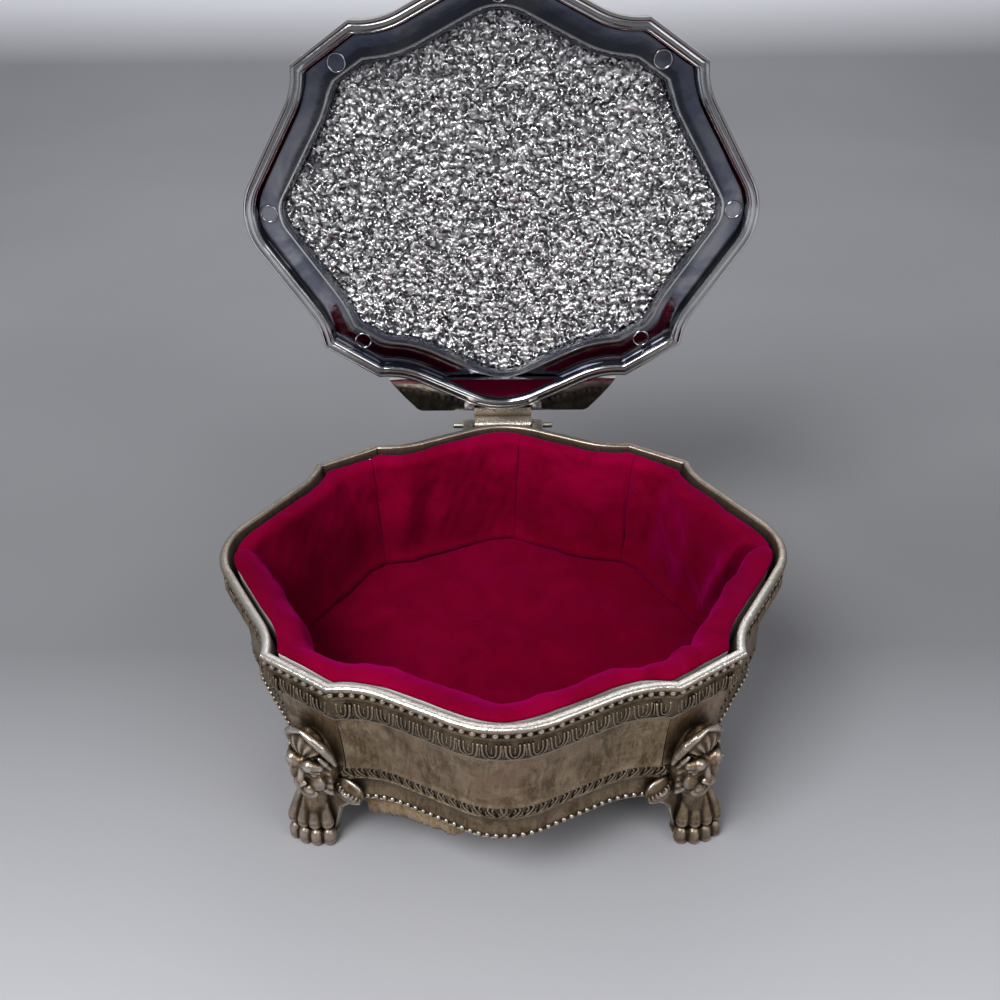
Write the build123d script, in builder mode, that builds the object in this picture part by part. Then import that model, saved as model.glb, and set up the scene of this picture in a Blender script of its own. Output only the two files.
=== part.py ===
from build123d import *
import math
import os

# Footed jewellery casket: a cast metal case with a bowed outline, made of four side
# panels and four corner castings that end in paws, with a velvet lining on card and
# a cast lid on a rear pin hinge.
# Millimetres. X is right, Y is back, Z is up, and the paws stand on Z = 0.
# The lid is drawn shut and then turned back on its hinge to the stop.

# Outline of the rim, seen from above
case_width = 149.0
case_depth = 128.0
front_shoulder_angle = 7.0
side_shoulder_angle = 0.0

# The corners of the outline and the radii of its bows keep their shares of the case
front_corner_x = case_width * 39 / 149
front_corner_y = case_depth * 52 / 128
side_corner_x = case_width * 56 / 149
side_corner_y = case_depth * 41 / 128
front_bow_radius = case_width * 26 / 149
front_shoulder_radius = case_width * 23 / 149
side_bow_radius = case_depth * 20 / 128
side_shoulder_radius = case_depth * 20 / 128

# Moulded profile of the case; a name that ends in _in is a distance in from the outline
rim_top = 64.4
skirt_bottom = 21.4
lip_height = 1.7
lip_width = 2.3
lip_round = 0.7
upper_bead_radius = 0.85
upper_bead_drop = 0.8
upper_bead_in = 1.3
ovolo_gap = 0.3
ovolo_height = 6.6
ovolo_top_in = 0.9
ovolo_foot_in = 2.0
ovolo_swell = 0.8
fillet_height = 0.8
fillet_in = 2.0
field_top_in = 2.7
wall_lean = 0.07
leaf_band_height = 3.9
leaf_band_swell = 0.8
cove_height = 7.0
cove_depth = 0.6
skirt_bead_radius = 0.95
wall_thickness = 1.8

# Lion mask of a corner casting; the levels are shares of its height, width and depth
mask_foot = 17.0
mask_height = 32.0
mask_half_width = 7.8
mask_depth = 7.6
mask_levels = (
    (0.0, 0.62, 0.84),
    (0.18, 0.84, 0.97),
    (0.36, 1.0, 1.0),
    (0.55, 1.0, 0.88),
    (0.78, 0.86, 0.74),
    (1.0, 0.26, 0.4),
)
muzzle_width = 6.6
muzzle_height = 6.4
muzzle_above_foot = 8.5
muzzle_out = 3.4
crest_flutes = 5
crest_flute_width = 2.3
crest_flute_length = 8.5
crest_out = 1.5
crest_fan_angle = 70.0
crest_above_foot = 20.0

# Leg and paw of a corner casting
leg_plate_half_width = 4.5
leg_plate_hollow = 3.0
paw_turn = 19.0
paw_front_along = 3.8
paw_front_out = 1.0
paw_width = 12.4
paw_length = 10.0
paw_height = 11.5
ankle_width = 8.6
ankle_length = 6.0
ankle_along = 2.6
ankle_in = 3.2
toe_count = 4
toe_width = 2.9
toe_length = 4.5
toe_height = 5.6
toe_out = 0.9
toe_taper = 10.0

# Bottom and lining
board_thickness = 2.0
board_gap = 0.3
pad_thickness = 3.0
pad_in = 5.4
pad_corner_gap = 0.5
card_thickness = 0.8
velvet_thickness = 3.2
velvet_below_rim = 1.9
velvet_gap = 0.3
floor_velvet_thickness = 4.2
lining_joint_gap = 0.5
rear_joint_x = 5.0

# Lid, drawn shut
lid_gap = 0.2
lid_in = 1.1
lid_lip_width = 3.4
lid_lip_depth = 4.4
lid_lip_height = 6.2
lid_edge_round = 0.9
lid_margin_width = 6.2
lid_recess = 1.6
lid_step_width = 1.0
crown_setback = 3.0
crown_height = 7.4
crown_radius = 390.0
panel_sheet = 2.0
worm_spacing = 16.0
worm_length = 5.2
worm_width = 1.2
worm_height = 0.6
worm_turn = 137.5
flange_thickness = 1.8
flange_set_back = 1.8
flange_head_in = 11.4
flange_foot_in = 0.1
flange_head_half_width = 36.0
flange_foot_half_width = 27.0

# Hinge at the back
hinge_behind_rim = 2.9
hinge_below_rim = 2.4
open_angle = 90.0
pin_diameter = 1.8
pin_clearance = 0.05
pin_length = 32.0
barrel_diameter = 4.0
lid_barrel_length = 18.4
ear_length = 3.2
ear_gap = 0.3
ear_foot = 6.5
ear_root_top_in = 3.8
ear_root_foot_in = 5.8
ear_toe_in = 2.5
heel_half_width = 5.0
heel_drop = 4.6
heel_gap = 0.5
tongue_root_in = 2.0
tongue_chamfer = 2.0

# Worked-out places
half_width = case_width / 2
half_depth = case_depth / 2
lip_bottom = rim_top - lip_height
bead_top = lip_bottom - upper_bead_drop
bead_bottom = bead_top - 2 * upper_bead_radius
ovolo_top = bead_bottom - ovolo_gap
ovolo_foot = ovolo_top - ovolo_height
field_top = ovolo_foot - fillet_height
skirt_bead_top = skirt_bottom + 2 * skirt_bead_radius
leaf_band_foot = skirt_bead_top + cove_height
leaf_band_top = leaf_band_foot + leaf_band_height
skirt_in = field_top_in + wall_lean * (field_top - skirt_bottom)
inner_in = skirt_in + wall_thickness
hinge_y = half_depth + hinge_behind_rim
hinge_z = rim_top - hinge_below_rim
hinge_axis = Axis((0, hinge_y, hinge_z), (1, 0, 0))
lid_bottom = rim_top + lid_gap
lid_lip_top = lid_bottom + lid_lip_height
flange_bottom = lid_bottom + flange_set_back
flange_top = flange_bottom + flange_thickness
board_top = skirt_bottom + board_thickness
floor_card_top = board_top + card_thickness
velvet_top = rim_top - velvet_below_rim
velvet_foot = floor_card_top + velvet_gap
run_out = 4.0
canted_x = (front_corner_x + side_corner_x) / 2
canted_y = (front_corner_y + side_corner_y) / 2
canted_run = Vector(side_corner_x - front_corner_x, side_corner_y - front_corner_y)
canted_width = canted_run.length
canted_angle = math.degrees(math.atan2(-canted_run.Y, canted_run.X))
corner_plane = Plane(origin=(canted_x, canted_y, 0), x_dir=canted_run, z_dir=(0, 0, 1))


def leaning_in(distance_in, height):
    """A distance in at the foot of the case, carried up a wall that leans outward."""
    return distance_in - wall_lean * (height - skirt_bottom)


# One side of the outline, drawn with the side along X and outward along Y. The four
# side planes turn it to the back, left, front and right of the case.
side_planes = {
    "rear": Plane.XY,
    "left": Plane.XY.rotated((0, 0, 90)),
    "front": Plane.XY.rotated((0, 0, 180)),
    "right": Plane.XY.rotated((0, 0, 270)),
}


def bowed_side(middle_out, corner, bow_radius, shoulder_radius, shoulder_angle, extra):
    """A convex bow in the middle, a straight run each way and a hollow shoulder that
    ends on each corner, as one smooth line from the left corner to the right one. It
    runs on straight past both corners by the extra length."""
    rise = math.radians(shoulder_angle)
    along = corner[0] - shoulder_radius * math.sin(rise)
    out = bow_radius + shoulder_radius * math.cos(rise) - (middle_out - corner[1])
    both = bow_radius + shoulder_radius
    run = math.sqrt(along**2 + out**2 - both**2)
    slope = math.degrees(math.atan2(both, run) - math.atan2(out, along))
    turn = slope + shoulder_angle
    left_corner = Vector(-corner[0], corner[1])
    heading = Vector(1, 0).rotate(Axis.Z, -shoulder_angle)
    with BuildLine(mode=Mode.PRIVATE) as side:
        if extra > 0:
            Line(left_corner - heading * extra, left_corner)
        first = JernArc(left_corner, heading, shoulder_radius, turn)
        rising = PolarLine(first @ 1, run, slope)
        nose = JernArc(rising @ 1, rising % 1, bow_radius, -2 * slope)
        falling = PolarLine(nose @ 1, run, -slope)
        last = JernArc(falling @ 1, falling % 1, shoulder_radius, turn)
        if extra > 0:
            PolarLine(last @ 1, extra, shoulder_angle)
    return side.line


def front_side(extra=0.0):
    return bowed_side(
        half_depth,
        (front_corner_x, front_corner_y),
        front_bow_radius,
        front_shoulder_radius,
        front_shoulder_angle,
        extra,
    )


def end_side(extra=0.0):
    return bowed_side(
        half_width,
        (side_corner_y, side_corner_x),
        side_bow_radius,
        side_shoulder_radius,
        side_shoulder_angle,
        extra,
    )


# Rim outline as a face: four bowed sides and four canted corners
with BuildSketch() as rim_outline:
    with BuildLine():
        for side_name, side_line in (
            ("rear", front_side()),
            ("left", end_side()),
            ("front", front_side()),
            ("right", end_side()),
        ):
            add(side_planes[side_name] * side_line)
        for x_sign in (1, -1):
            for y_sign in (1, -1):
                Line(
                    (x_sign * front_corner_x, y_sign * front_corner_y),
                    (x_sign * side_corner_x, y_sign * side_corner_y),
                )
    make_face()


def outline(inset):
    """The rim outline drawn in by a distance all round."""
    with BuildSketch(mode=Mode.PRIVATE) as inset_outline:
        add(rim_outline.sketch)
        offset(amount=-inset, kind=Kind.INTERSECTION)
    return inset_outline.sketch


def moulding(section_plane):
    """Section of the case wall, with X outward from the outline and Y up."""
    leaf_foot_in = leaning_in(skirt_in, leaf_band_foot)
    leaf_top_in = leaning_in(skirt_in, leaf_band_top)
    with BuildSketch(section_plane, mode=Mode.PRIVATE) as section:
        with BuildLine():
            skirt = Polyline(
                (-inner_in, skirt_bottom),
                (-skirt_in, skirt_bottom),
                (-skirt_in + skirt_bead_radius, skirt_bottom + skirt_bead_radius / 2),
                (-skirt_in + skirt_bead_radius, skirt_bead_top - skirt_bead_radius / 2),
                (-skirt_in, skirt_bead_top),
                (-skirt_in - cove_depth / 2, skirt_bead_top + cove_height / 3),
                (-leaf_foot_in - cove_depth, leaf_band_foot - cove_height / 4),
                (-leaf_foot_in, leaf_band_foot),
            )
            field = Polyline(
                skirt @ 1,
                (-leaf_foot_in + leaf_band_swell, leaf_band_foot + leaf_band_height / 3),
                (-leaf_top_in + leaf_band_swell, leaf_band_top - leaf_band_height / 3),
                (-leaf_top_in, leaf_band_top),
                (-field_top_in, field_top),
                (-fillet_in, field_top),
                (-fillet_in, ovolo_foot),
            )
            ovolo = Polyline(
                field @ 1,
                (-ovolo_foot_in + ovolo_swell * 0.75, ovolo_foot + ovolo_height * 0.15),
                (-ovolo_foot_in + ovolo_swell * 1.5, ovolo_foot + ovolo_height * 0.45),
                (-ovolo_top_in + ovolo_swell * 0.9, ovolo_foot + ovolo_height * 0.78),
                (-ovolo_top_in, ovolo_top),
            )
            Polyline(
                ovolo @ 1,
                (-upper_bead_in, ovolo_top),
                (-upper_bead_in + upper_bead_radius, bead_bottom + upper_bead_radius / 2),
                (-upper_bead_in + upper_bead_radius, bead_top - upper_bead_radius / 2),
                (-upper_bead_in, bead_top),
                (-lip_round, lip_bottom),
                (0, lip_bottom),
                (0, rim_top - lip_round),
                (-lip_round, rim_top),
                (-lip_width, rim_top),
                (-lip_width, lip_bottom),
                (-field_top_in - wall_thickness, field_top),
                skirt @ 0,
            )
        make_face()
    return section.sketch


def corner_mitre(corner, next_corner, shoulder_angle):
    """The upright plane that halves the turn at the right corner of a side. It is in the
    side's own plane and faces away from the side."""
    heading = Vector(1, 0).rotate(Axis.Z, shoulder_angle)
    next_heading = (Vector(*next_corner) - Vector(*corner)).normalized()
    return Plane(origin=Vector(*corner), z_dir=heading + next_heading)


front_mitre = corner_mitre(
    (front_corner_x, front_corner_y), (side_corner_x, side_corner_y), front_shoulder_angle
)
end_mitre = corner_mitre(
    (side_corner_y, side_corner_x), (front_corner_y, front_corner_x), side_shoulder_angle
)


def mitred_panel(side, mitre):
    """The moulding swept along one side and cut at both corners. It is drawn with the
    side along X and outward along Y."""
    start = side.edges()[0]
    section_plane = Plane(origin=start @ 0, x_dir=Vector(0, 0, 1).cross(start % 0), z_dir=start % 0)
    with BuildPart(mode=Mode.PRIVATE) as panel:
        sweep(moulding(section_plane), path=Wire(side.edges()))
        split(bisect_by=mitre, keep=Keep.BOTTOM)
        mirror(about=Plane.YZ, mode=Mode.INTERSECT)
    return panel.part


# Front, left and right panels
with BuildPart() as front_panel:
    add(side_planes["front"] * mitred_panel(front_side(run_out), front_mitre))
with BuildPart() as left_panel:
    add(side_planes["left"] * mitred_panel(end_side(run_out), end_mitre))
with BuildPart() as right_panel:
    add(side_planes["right"] * mitred_panel(end_side(run_out), end_mitre))

# Rear panel, with the two cast ears of the hinge behind its rim
ear_middle = lid_barrel_length / 2 + ear_gap + ear_length / 2
with BuildPart() as rear_panel:
    add(mitred_panel(front_side(run_out), front_mitre))
    for ear_x in (-ear_middle, ear_middle):
        with BuildSketch(Plane.YZ.offset(ear_x)):
            with BuildLine():
                Polyline(
                    (half_depth - ear_root_top_in, hinge_z + barrel_diameter / 2),
                    (hinge_y, hinge_z + barrel_diameter / 2),
                    (hinge_y + barrel_diameter / 2, hinge_z),
                    (half_depth - ear_toe_in, hinge_z - ear_foot),
                    (half_depth - ear_root_foot_in, hinge_z - ear_foot),
                    close=True,
                )
            make_face()
            with Locations((hinge_y, hinge_z)):
                Circle(barrel_diameter / 2)
        extrude(amount=ear_length / 2, both=True)
    with Locations(Plane(origin=(0, hinge_y, hinge_z), z_dir=(1, 0, 0))):
        Cylinder(pin_diameter / 2 + pin_clearance, pin_length, mode=Mode.SUBTRACT)

# Hinge pin
with BuildPart() as hinge_pin:
    with Locations(Plane(origin=(0, hinge_y, hinge_z), z_dir=(1, 0, 0))):
        Cylinder(pin_diameter / 2, pin_length)
    chamfer(hinge_pin.edges().filter_by(GeomType.CIRCLE), pin_diameter / 6)


def mask_section(height_share, width_share, depth_share):
    """One level of the lion mask: a blunt block that starts in the middle of the wall."""
    level_height = mask_foot + mask_height * height_share
    half = mask_half_width * width_share
    back = -leaning_in(skirt_in + wall_thickness / 2, level_height)
    front = back + mask_depth * depth_share
    with BuildSketch(Plane.XY.offset(level_height), mode=Mode.PRIVATE) as level:
        Polygon(
            (-half, back),
            (half, back),
            (half, (back + front) / 2),
            (half * 0.72, back * 0.16 + front * 0.84),
            (half * 0.3, front),
            (-half * 0.3, front),
            (-half * 0.72, back * 0.16 + front * 0.84),
            (-half, (back + front) / 2),
            align=None,
        )
    return level.sketch


def paw_section(height, width, length, middle):
    """One level of the paw: a rectangle with its corners cut off."""
    with BuildSketch(paw_plane.offset(height), mode=Mode.PRIVATE) as level:
        with Locations(middle):
            Rectangle(width, length)
        chamfer(level.vertices(), min(width, length) * 0.28)
    return level.sketch


# Corner casting, drawn with its canted wall along X and outward along Y: mitred wall,
# lion mask, leg plate, ankle and paw in one piece. The paw is turned towards the front.
paw_heading = Vector(0, 1).rotate(Axis.Z, paw_turn)
paw_plane = Plane(
    origin=Vector(paw_front_along, paw_front_out) - paw_heading * (paw_length / 2),
    x_dir=Vector(1, 0).rotate(Axis.Z, paw_turn),
    z_dir=(0, 0, 1),
)
paw_along = paw_plane.origin.X
ankle_middle = paw_plane.to_local_coords(Vector(ankle_along, -ankle_in))
front_half_turn = (canted_angle + front_shoulder_angle) / 2
side_half_turn = (90 - canted_angle + side_shoulder_angle) / 2
with BuildPart() as corner_casting:
    extrude(moulding(Plane.YZ), amount=canted_width, both=True)
    with BuildSketch(Plane.XZ.offset(skirt_in)):
        with BuildLine():
            head_edge = Line((-canted_width / 2, skirt_bottom), (canted_width / 2, skirt_bottom))
            right_edge = ThreePointArc(
                head_edge @ 1,
                (paw_along + leg_plate_half_width - leg_plate_hollow / 4, skirt_bottom / 2 + leg_plate_hollow),
                (paw_along + leg_plate_half_width, 0),
            )
            sole = Line(right_edge @ 1, (paw_along - leg_plate_half_width, 0))
            left_edge = ThreePointArc(
                sole @ 1,
                (paw_along - leg_plate_half_width - leg_plate_hollow * 1.5, skirt_bottom / 2 + leg_plate_hollow),
                head_edge @ 0,
            )
        make_face()
    extrude(amount=wall_thickness)
    for end_x, half_turn in ((-canted_width / 2, front_half_turn), (canted_width / 2, 180 - side_half_turn)):
        split(
            bisect_by=Plane(origin=(end_x, 0, 0), z_dir=Vector(1, 0).rotate(Axis.Z, half_turn)),
            keep=Keep.TOP,
        )
    loft([mask_section(*level) for level in mask_levels], ruled=True)
    with BuildSketch(Plane.XZ.offset(-muzzle_out)) as muzzle:
        with Locations((0, mask_foot + muzzle_above_foot)):
            Rectangle(muzzle_width, muzzle_height)
        chamfer(muzzle.vertices(), muzzle_width / 4)
    extrude(amount=mask_depth / 2)
    with BuildSketch(Plane.XZ.offset(-crest_out)):
        for flute in range(crest_flutes):
            fan_turn = crest_fan_angle * (flute / (crest_flutes - 1) - 0.5)
            with Locations(Location((0, mask_foot + crest_above_foot), fan_turn)):
                Polygon(
                    (-crest_flute_width / 5, 0),
                    (crest_flute_width / 5, 0),
                    (crest_flute_width / 2, crest_flute_length),
                    (0, crest_flute_length + crest_flute_width / 3),
                    (-crest_flute_width / 2, crest_flute_length),
                    align=None,
                )
    extrude(amount=mask_depth / 2)
    loft(
        [
            paw_section(0, paw_width, paw_length, (0, 0)),
            paw_section(paw_height / 2, paw_width - toe_out, paw_length - toe_out, (0, 0)),
            paw_section(paw_height, ankle_width, ankle_length, ankle_middle),
            paw_section(skirt_bottom, ankle_width, ankle_length, ankle_middle),
        ],
        ruled=True,
    )
    with BuildSketch(paw_plane):
        for toe in range(toe_count):
            toe_x = (paw_width - toe_width) * (toe / (toe_count - 1) - 0.5)
            with Locations((toe_x, paw_length / 2 + toe_out - toe_length / 2)):
                Rectangle(toe_width, toe_length)
    extrude(amount=toe_height, taper=toe_taper)

with BuildPart() as rear_right_leg:
    add(corner_plane * corner_casting.part)
with BuildPart() as front_right_leg:
    mirror(rear_right_leg.part, about=Plane.XZ)
with BuildPart() as front_left_leg:
    add(rear_right_leg.part.rotate(Axis.Z, 180))
with BuildPart() as rear_left_leg:
    add(front_right_leg.part.rotate(Axis.Z, 180))

# Bottom board inside the skirt, and the felt pad glued under both
with BuildPart() as bottom_board:
    with BuildSketch(Plane.XY.offset(skirt_bottom)):
        add(outline(inner_in + board_gap))
    extrude(amount=board_thickness)
with BuildPart() as bottom_pad:
    with BuildSketch(Plane.XY.offset(skirt_bottom)):
        add(outline(pad_in))
        for x_sign in (-1, 1):
            for y_sign in (-1, 1):
                with Locations(
                    Location((x_sign * canted_x, y_sign * canted_y), -x_sign * y_sign * canted_angle)
                ):
                    Rectangle(
                        canted_width + 2 * pad_corner_gap,
                        2 * (inner_in + pad_corner_gap),
                        mode=Mode.SUBTRACT,
                    )
    extrude(amount=-pad_thickness)


def leaning_block(foot_in, foot, top):
    """A block on the outline whose sides lean outward with the case wall."""
    with BuildPart(mode=Mode.PRIVATE) as block:
        for height in (foot, top):
            with BuildSketch(Plane.XY.offset(height)):
                add(outline(leaning_in(foot_in, height)))
        loft(ruled=True)
    return block.part


def lining_band(outer_in, inner_face_in, foot, top):
    """A band that follows the inside of the case, between two distances in."""
    with BuildPart(mode=Mode.PRIVATE) as band:
        add(leaning_block(outer_in, foot, top))
        add(leaning_block(inner_face_in, foot, top), mode=Mode.SUBTRACT)
    return band.part


card_in = inner_in + board_gap
velvet_in = card_in + card_thickness + velvet_gap
lining_in = velvet_in + velvet_thickness
card_band = lining_band(card_in, card_in + card_thickness, board_top, velvet_top)
velvet_band = lining_band(velvet_in, lining_in, velvet_foot, velvet_top)


def band_piece(band, x_from, x_to, y_from, y_to):
    """The part of a lining band inside a plan rectangle, short of it by half a joint."""
    half_joint = lining_joint_gap / 2
    with BuildPart(mode=Mode.PRIVATE) as piece:
        add(band)
        with Locations(((x_from + x_to) / 2, (y_from + y_to) / 2, rim_top / 2)):
            Box(
                x_to - x_from - 2 * half_joint,
                y_to - y_from - 2 * half_joint,
                2 * rim_top,
                mode=Mode.INTERSECT,
            )
    return piece.part


# Lining walls: white card behind, padded velvet in front, in five lengths
with BuildPart() as card_front:
    add(band_piece(card_band, -case_width, case_width, -case_depth, 0))
with BuildPart() as card_left:
    add(band_piece(card_band, -case_width, -front_corner_x, 0, case_depth))
with BuildPart() as card_rear_left:
    add(band_piece(card_band, -front_corner_x, rear_joint_x, 0, case_depth))
with BuildPart() as card_rear_right:
    add(band_piece(card_band, rear_joint_x, front_corner_x, 0, case_depth))
with BuildPart() as card_right:
    add(band_piece(card_band, front_corner_x, case_width, 0, case_depth))
with BuildPart() as velvet_front:
    add(band_piece(velvet_band, -case_width, case_width, -case_depth, 0))
with BuildPart() as velvet_left:
    add(band_piece(velvet_band, -case_width, -front_corner_x, 0, case_depth))
with BuildPart() as velvet_rear_left:
    add(band_piece(velvet_band, -front_corner_x, rear_joint_x, 0, case_depth))
with BuildPart() as velvet_rear_right:
    add(band_piece(velvet_band, rear_joint_x, front_corner_x, 0, case_depth))
with BuildPart() as velvet_right:
    add(band_piece(velvet_band, front_corner_x, case_width, 0, case_depth))

# Lining floor
with BuildPart() as floor_card:
    with BuildSketch(Plane.XY.offset(board_top)):
        add(outline(velvet_in))
    extrude(amount=card_thickness)
with BuildPart() as floor_velvet:
    with BuildSketch(Plane.XY.offset(velvet_foot)):
        add(outline(lining_in + velvet_gap))
    extrude(amount=floor_velvet_thickness)

# Lid, drawn shut: lipped rim, stepped dish, low domed crown, and the flange, tongue, barrel and heel of the hinge
dish_in = lid_in + lid_lip_width
step_in = dish_in + lid_margin_width
panel_in = step_in + lid_step_width
margin_z = lid_bottom + lid_lip_depth
crown_top = lid_lip_top + crown_height


def crown_prism(inset, foot, top_radius):
    """An upright prism on the outline, trimmed by a sphere about the crown's middle."""
    with BuildPart(mode=Mode.PRIVATE) as prism:
        with BuildSketch(Plane.XY.offset(foot)):
            add(outline(inset))
        extrude(amount=crown_top - foot)
        with Locations((0, 0, crown_top - crown_radius)):
            Sphere(top_radius, mode=Mode.INTERSECT)
    return prism.part


# Main ridges of the worm-cast panel, each on a plane of its own across the hollow dome.
# They stand in staggered rows, and every next one is turned further round.
dome_middle = Vector(0, 0, crown_top - crown_radius)
dome_radius = crown_radius - panel_sheet
worm_reach_x = half_width - panel_in - worm_length
worm_reach_y = half_depth - panel_in - worm_length
worm_planes = []
for worm_row in range(-4, 5):
    for worm_place in range(-5, 6):
        worm_x = (worm_place + worm_row % 2 / 2) * worm_spacing
        worm_y = worm_row * worm_spacing * 0.87
        if math.hypot(worm_x / worm_reach_x, worm_y / worm_reach_y) < 1:
            worm_rise = math.sqrt(dome_radius**2 - worm_x**2 - worm_y**2)
            worm_inward = Vector(-worm_x, -worm_y, -worm_rise).normalized()
            worm_heading = Vector(1, 0).rotate(Axis.Z, worm_turn * len(worm_planes))
            worm_root = dome_middle - worm_inward * (dome_radius + worm_height)
            worm_planes.append(Plane(origin=worm_root, x_dir=worm_heading, z_dir=worm_inward))

with BuildPart() as shut_lid:
    with BuildSketch(Plane.XY.offset(lid_bottom)):
        add(outline(lid_in))
    extrude(amount=lid_lip_height)
    chamfer(shut_lid.edges().group_by(Axis.Z)[-1], lid_edge_round)
    add(crown_prism(lid_in + crown_setback, lid_lip_top - lid_edge_round, crown_radius))
    with BuildSketch(Plane.XY.offset(flange_bottom)):
        Polygon(
            (-flange_head_half_width, half_depth - flange_head_in),
            (flange_head_half_width, half_depth - flange_head_in),
            (flange_foot_half_width, half_depth - flange_foot_in),
            (-flange_foot_half_width, half_depth - flange_foot_in),
            align=None,
        )
    extrude(amount=flange_thickness)
    with BuildSketch(Plane.XY.offset(lid_bottom)):
        add(outline(dish_in))
    extrude(amount=lid_lip_depth, mode=Mode.SUBTRACT)
    with BuildSketch(Plane.XY.offset(margin_z)):
        add(outline(step_in))
    extrude(amount=lid_recess / 2, mode=Mode.SUBTRACT)
    add(crown_prism(panel_in, margin_z, dome_radius), mode=Mode.SUBTRACT)
    with BuildSketch(*worm_planes):
        Rectangle(worm_length, worm_width)
    extrude(amount=2 * worm_height)
    with BuildSketch(Plane.YZ):
        with BuildLine():
            Polyline(
                (half_depth - tongue_root_in, lid_bottom),
                (half_depth - tongue_root_in, flange_top),
                (hinge_y + barrel_diameter / 2 - tongue_chamfer, flange_top),
                (hinge_y + barrel_diameter / 2, flange_top - tongue_chamfer),
                (hinge_y + barrel_diameter / 2, hinge_z),
                (hinge_y - barrel_diameter / 2, hinge_z),
                (hinge_y - barrel_diameter / 2, lid_bottom),
                close=True,
            )
        make_face()
        with Locations((hinge_y, hinge_z)):
            Circle(barrel_diameter / 2)
    extrude(amount=lid_barrel_length / 2, both=True)
    with Locations((0, hinge_y + heel_drop / 2, hinge_z - (hinge_behind_rim - heel_gap) / 2)):
        Box(2 * heel_half_width, heel_drop, hinge_behind_rim - heel_gap)
    with Locations(Plane(origin=(0, hinge_y, hinge_z), z_dir=(1, 0, 0))):
        Cylinder(pin_diameter / 2 + pin_clearance, pin_length, mode=Mode.SUBTRACT)

with BuildPart() as lid:
    add(shut_lid.part.rotate(hinge_axis, -open_angle))

os.makedirs("parts", exist_ok=True)
front_panel.part.label = "front_panel"
export_step(front_panel.part, "parts/front_panel.step")
rear_panel.part.label = "rear_panel"
export_step(rear_panel.part, "parts/rear_panel.step")
left_panel.part.label = "left_panel"
export_step(left_panel.part, "parts/left_panel.step")
right_panel.part.label = "right_panel"
export_step(right_panel.part, "parts/right_panel.step")
front_left_leg.part.label = "front_left_leg"
export_step(front_left_leg.part, "parts/front_left_leg.step")
front_right_leg.part.label = "front_right_leg"
export_step(front_right_leg.part, "parts/front_right_leg.step")
rear_left_leg.part.label = "rear_left_leg"
export_step(rear_left_leg.part, "parts/rear_left_leg.step")
rear_right_leg.part.label = "rear_right_leg"
export_step(rear_right_leg.part, "parts/rear_right_leg.step")
bottom_board.part.label = "bottom_board"
export_step(bottom_board.part, "parts/bottom_board.step")
bottom_pad.part.label = "bottom_pad"
export_step(bottom_pad.part, "parts/bottom_pad.step")
floor_card.part.label = "floor_card"
export_step(floor_card.part, "parts/floor_card.step")
floor_velvet.part.label = "floor_velvet"
export_step(floor_velvet.part, "parts/floor_velvet.step")
card_front.part.label = "card_front"
export_step(card_front.part, "parts/card_front.step")
card_left.part.label = "card_left"
export_step(card_left.part, "parts/card_left.step")
card_rear_left.part.label = "card_rear_left"
export_step(card_rear_left.part, "parts/card_rear_left.step")
card_rear_right.part.label = "card_rear_right"
export_step(card_rear_right.part, "parts/card_rear_right.step")
card_right.part.label = "card_right"
export_step(card_right.part, "parts/card_right.step")
velvet_front.part.label = "velvet_front"
export_step(velvet_front.part, "parts/velvet_front.step")
velvet_left.part.label = "velvet_left"
export_step(velvet_left.part, "parts/velvet_left.step")
velvet_rear_left.part.label = "velvet_rear_left"
export_step(velvet_rear_left.part, "parts/velvet_rear_left.step")
velvet_rear_right.part.label = "velvet_rear_right"
export_step(velvet_rear_right.part, "parts/velvet_rear_right.step")
velvet_right.part.label = "velvet_right"
export_step(velvet_right.part, "parts/velvet_right.step")
hinge_pin.part.label = "hinge_pin"
export_step(hinge_pin.part, "parts/hinge_pin.step")
lid.part.label = "lid"
export_step(lid.part, "parts/lid.step")
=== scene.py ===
import math

import bmesh
import bpy
import numpy as np
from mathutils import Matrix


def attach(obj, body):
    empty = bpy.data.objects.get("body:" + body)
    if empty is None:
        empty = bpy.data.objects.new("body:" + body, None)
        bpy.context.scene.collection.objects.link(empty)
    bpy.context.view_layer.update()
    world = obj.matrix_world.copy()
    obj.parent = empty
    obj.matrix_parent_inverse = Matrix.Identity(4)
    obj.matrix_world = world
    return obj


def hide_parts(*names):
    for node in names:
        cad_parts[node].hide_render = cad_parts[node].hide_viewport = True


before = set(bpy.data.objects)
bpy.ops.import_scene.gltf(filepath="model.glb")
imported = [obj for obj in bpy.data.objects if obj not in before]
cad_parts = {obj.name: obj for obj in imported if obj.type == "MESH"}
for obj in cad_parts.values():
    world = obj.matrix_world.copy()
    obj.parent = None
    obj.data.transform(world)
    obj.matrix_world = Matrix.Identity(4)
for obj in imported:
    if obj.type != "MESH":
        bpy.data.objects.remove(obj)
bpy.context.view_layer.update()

import openvdb
from mathutils import Matrix, Vector

bl_info = {
    "name": "Footed Jewellery Casket",
    "version": (1, 0, 0),
    "blender": (4, 5, 0),
    "location": "3D View > Sidebar > Casket",
    "description": "Builds the cast metal casket, its velvet lining and its lid around the packed frame",
    "category": "Object",
}

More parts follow.
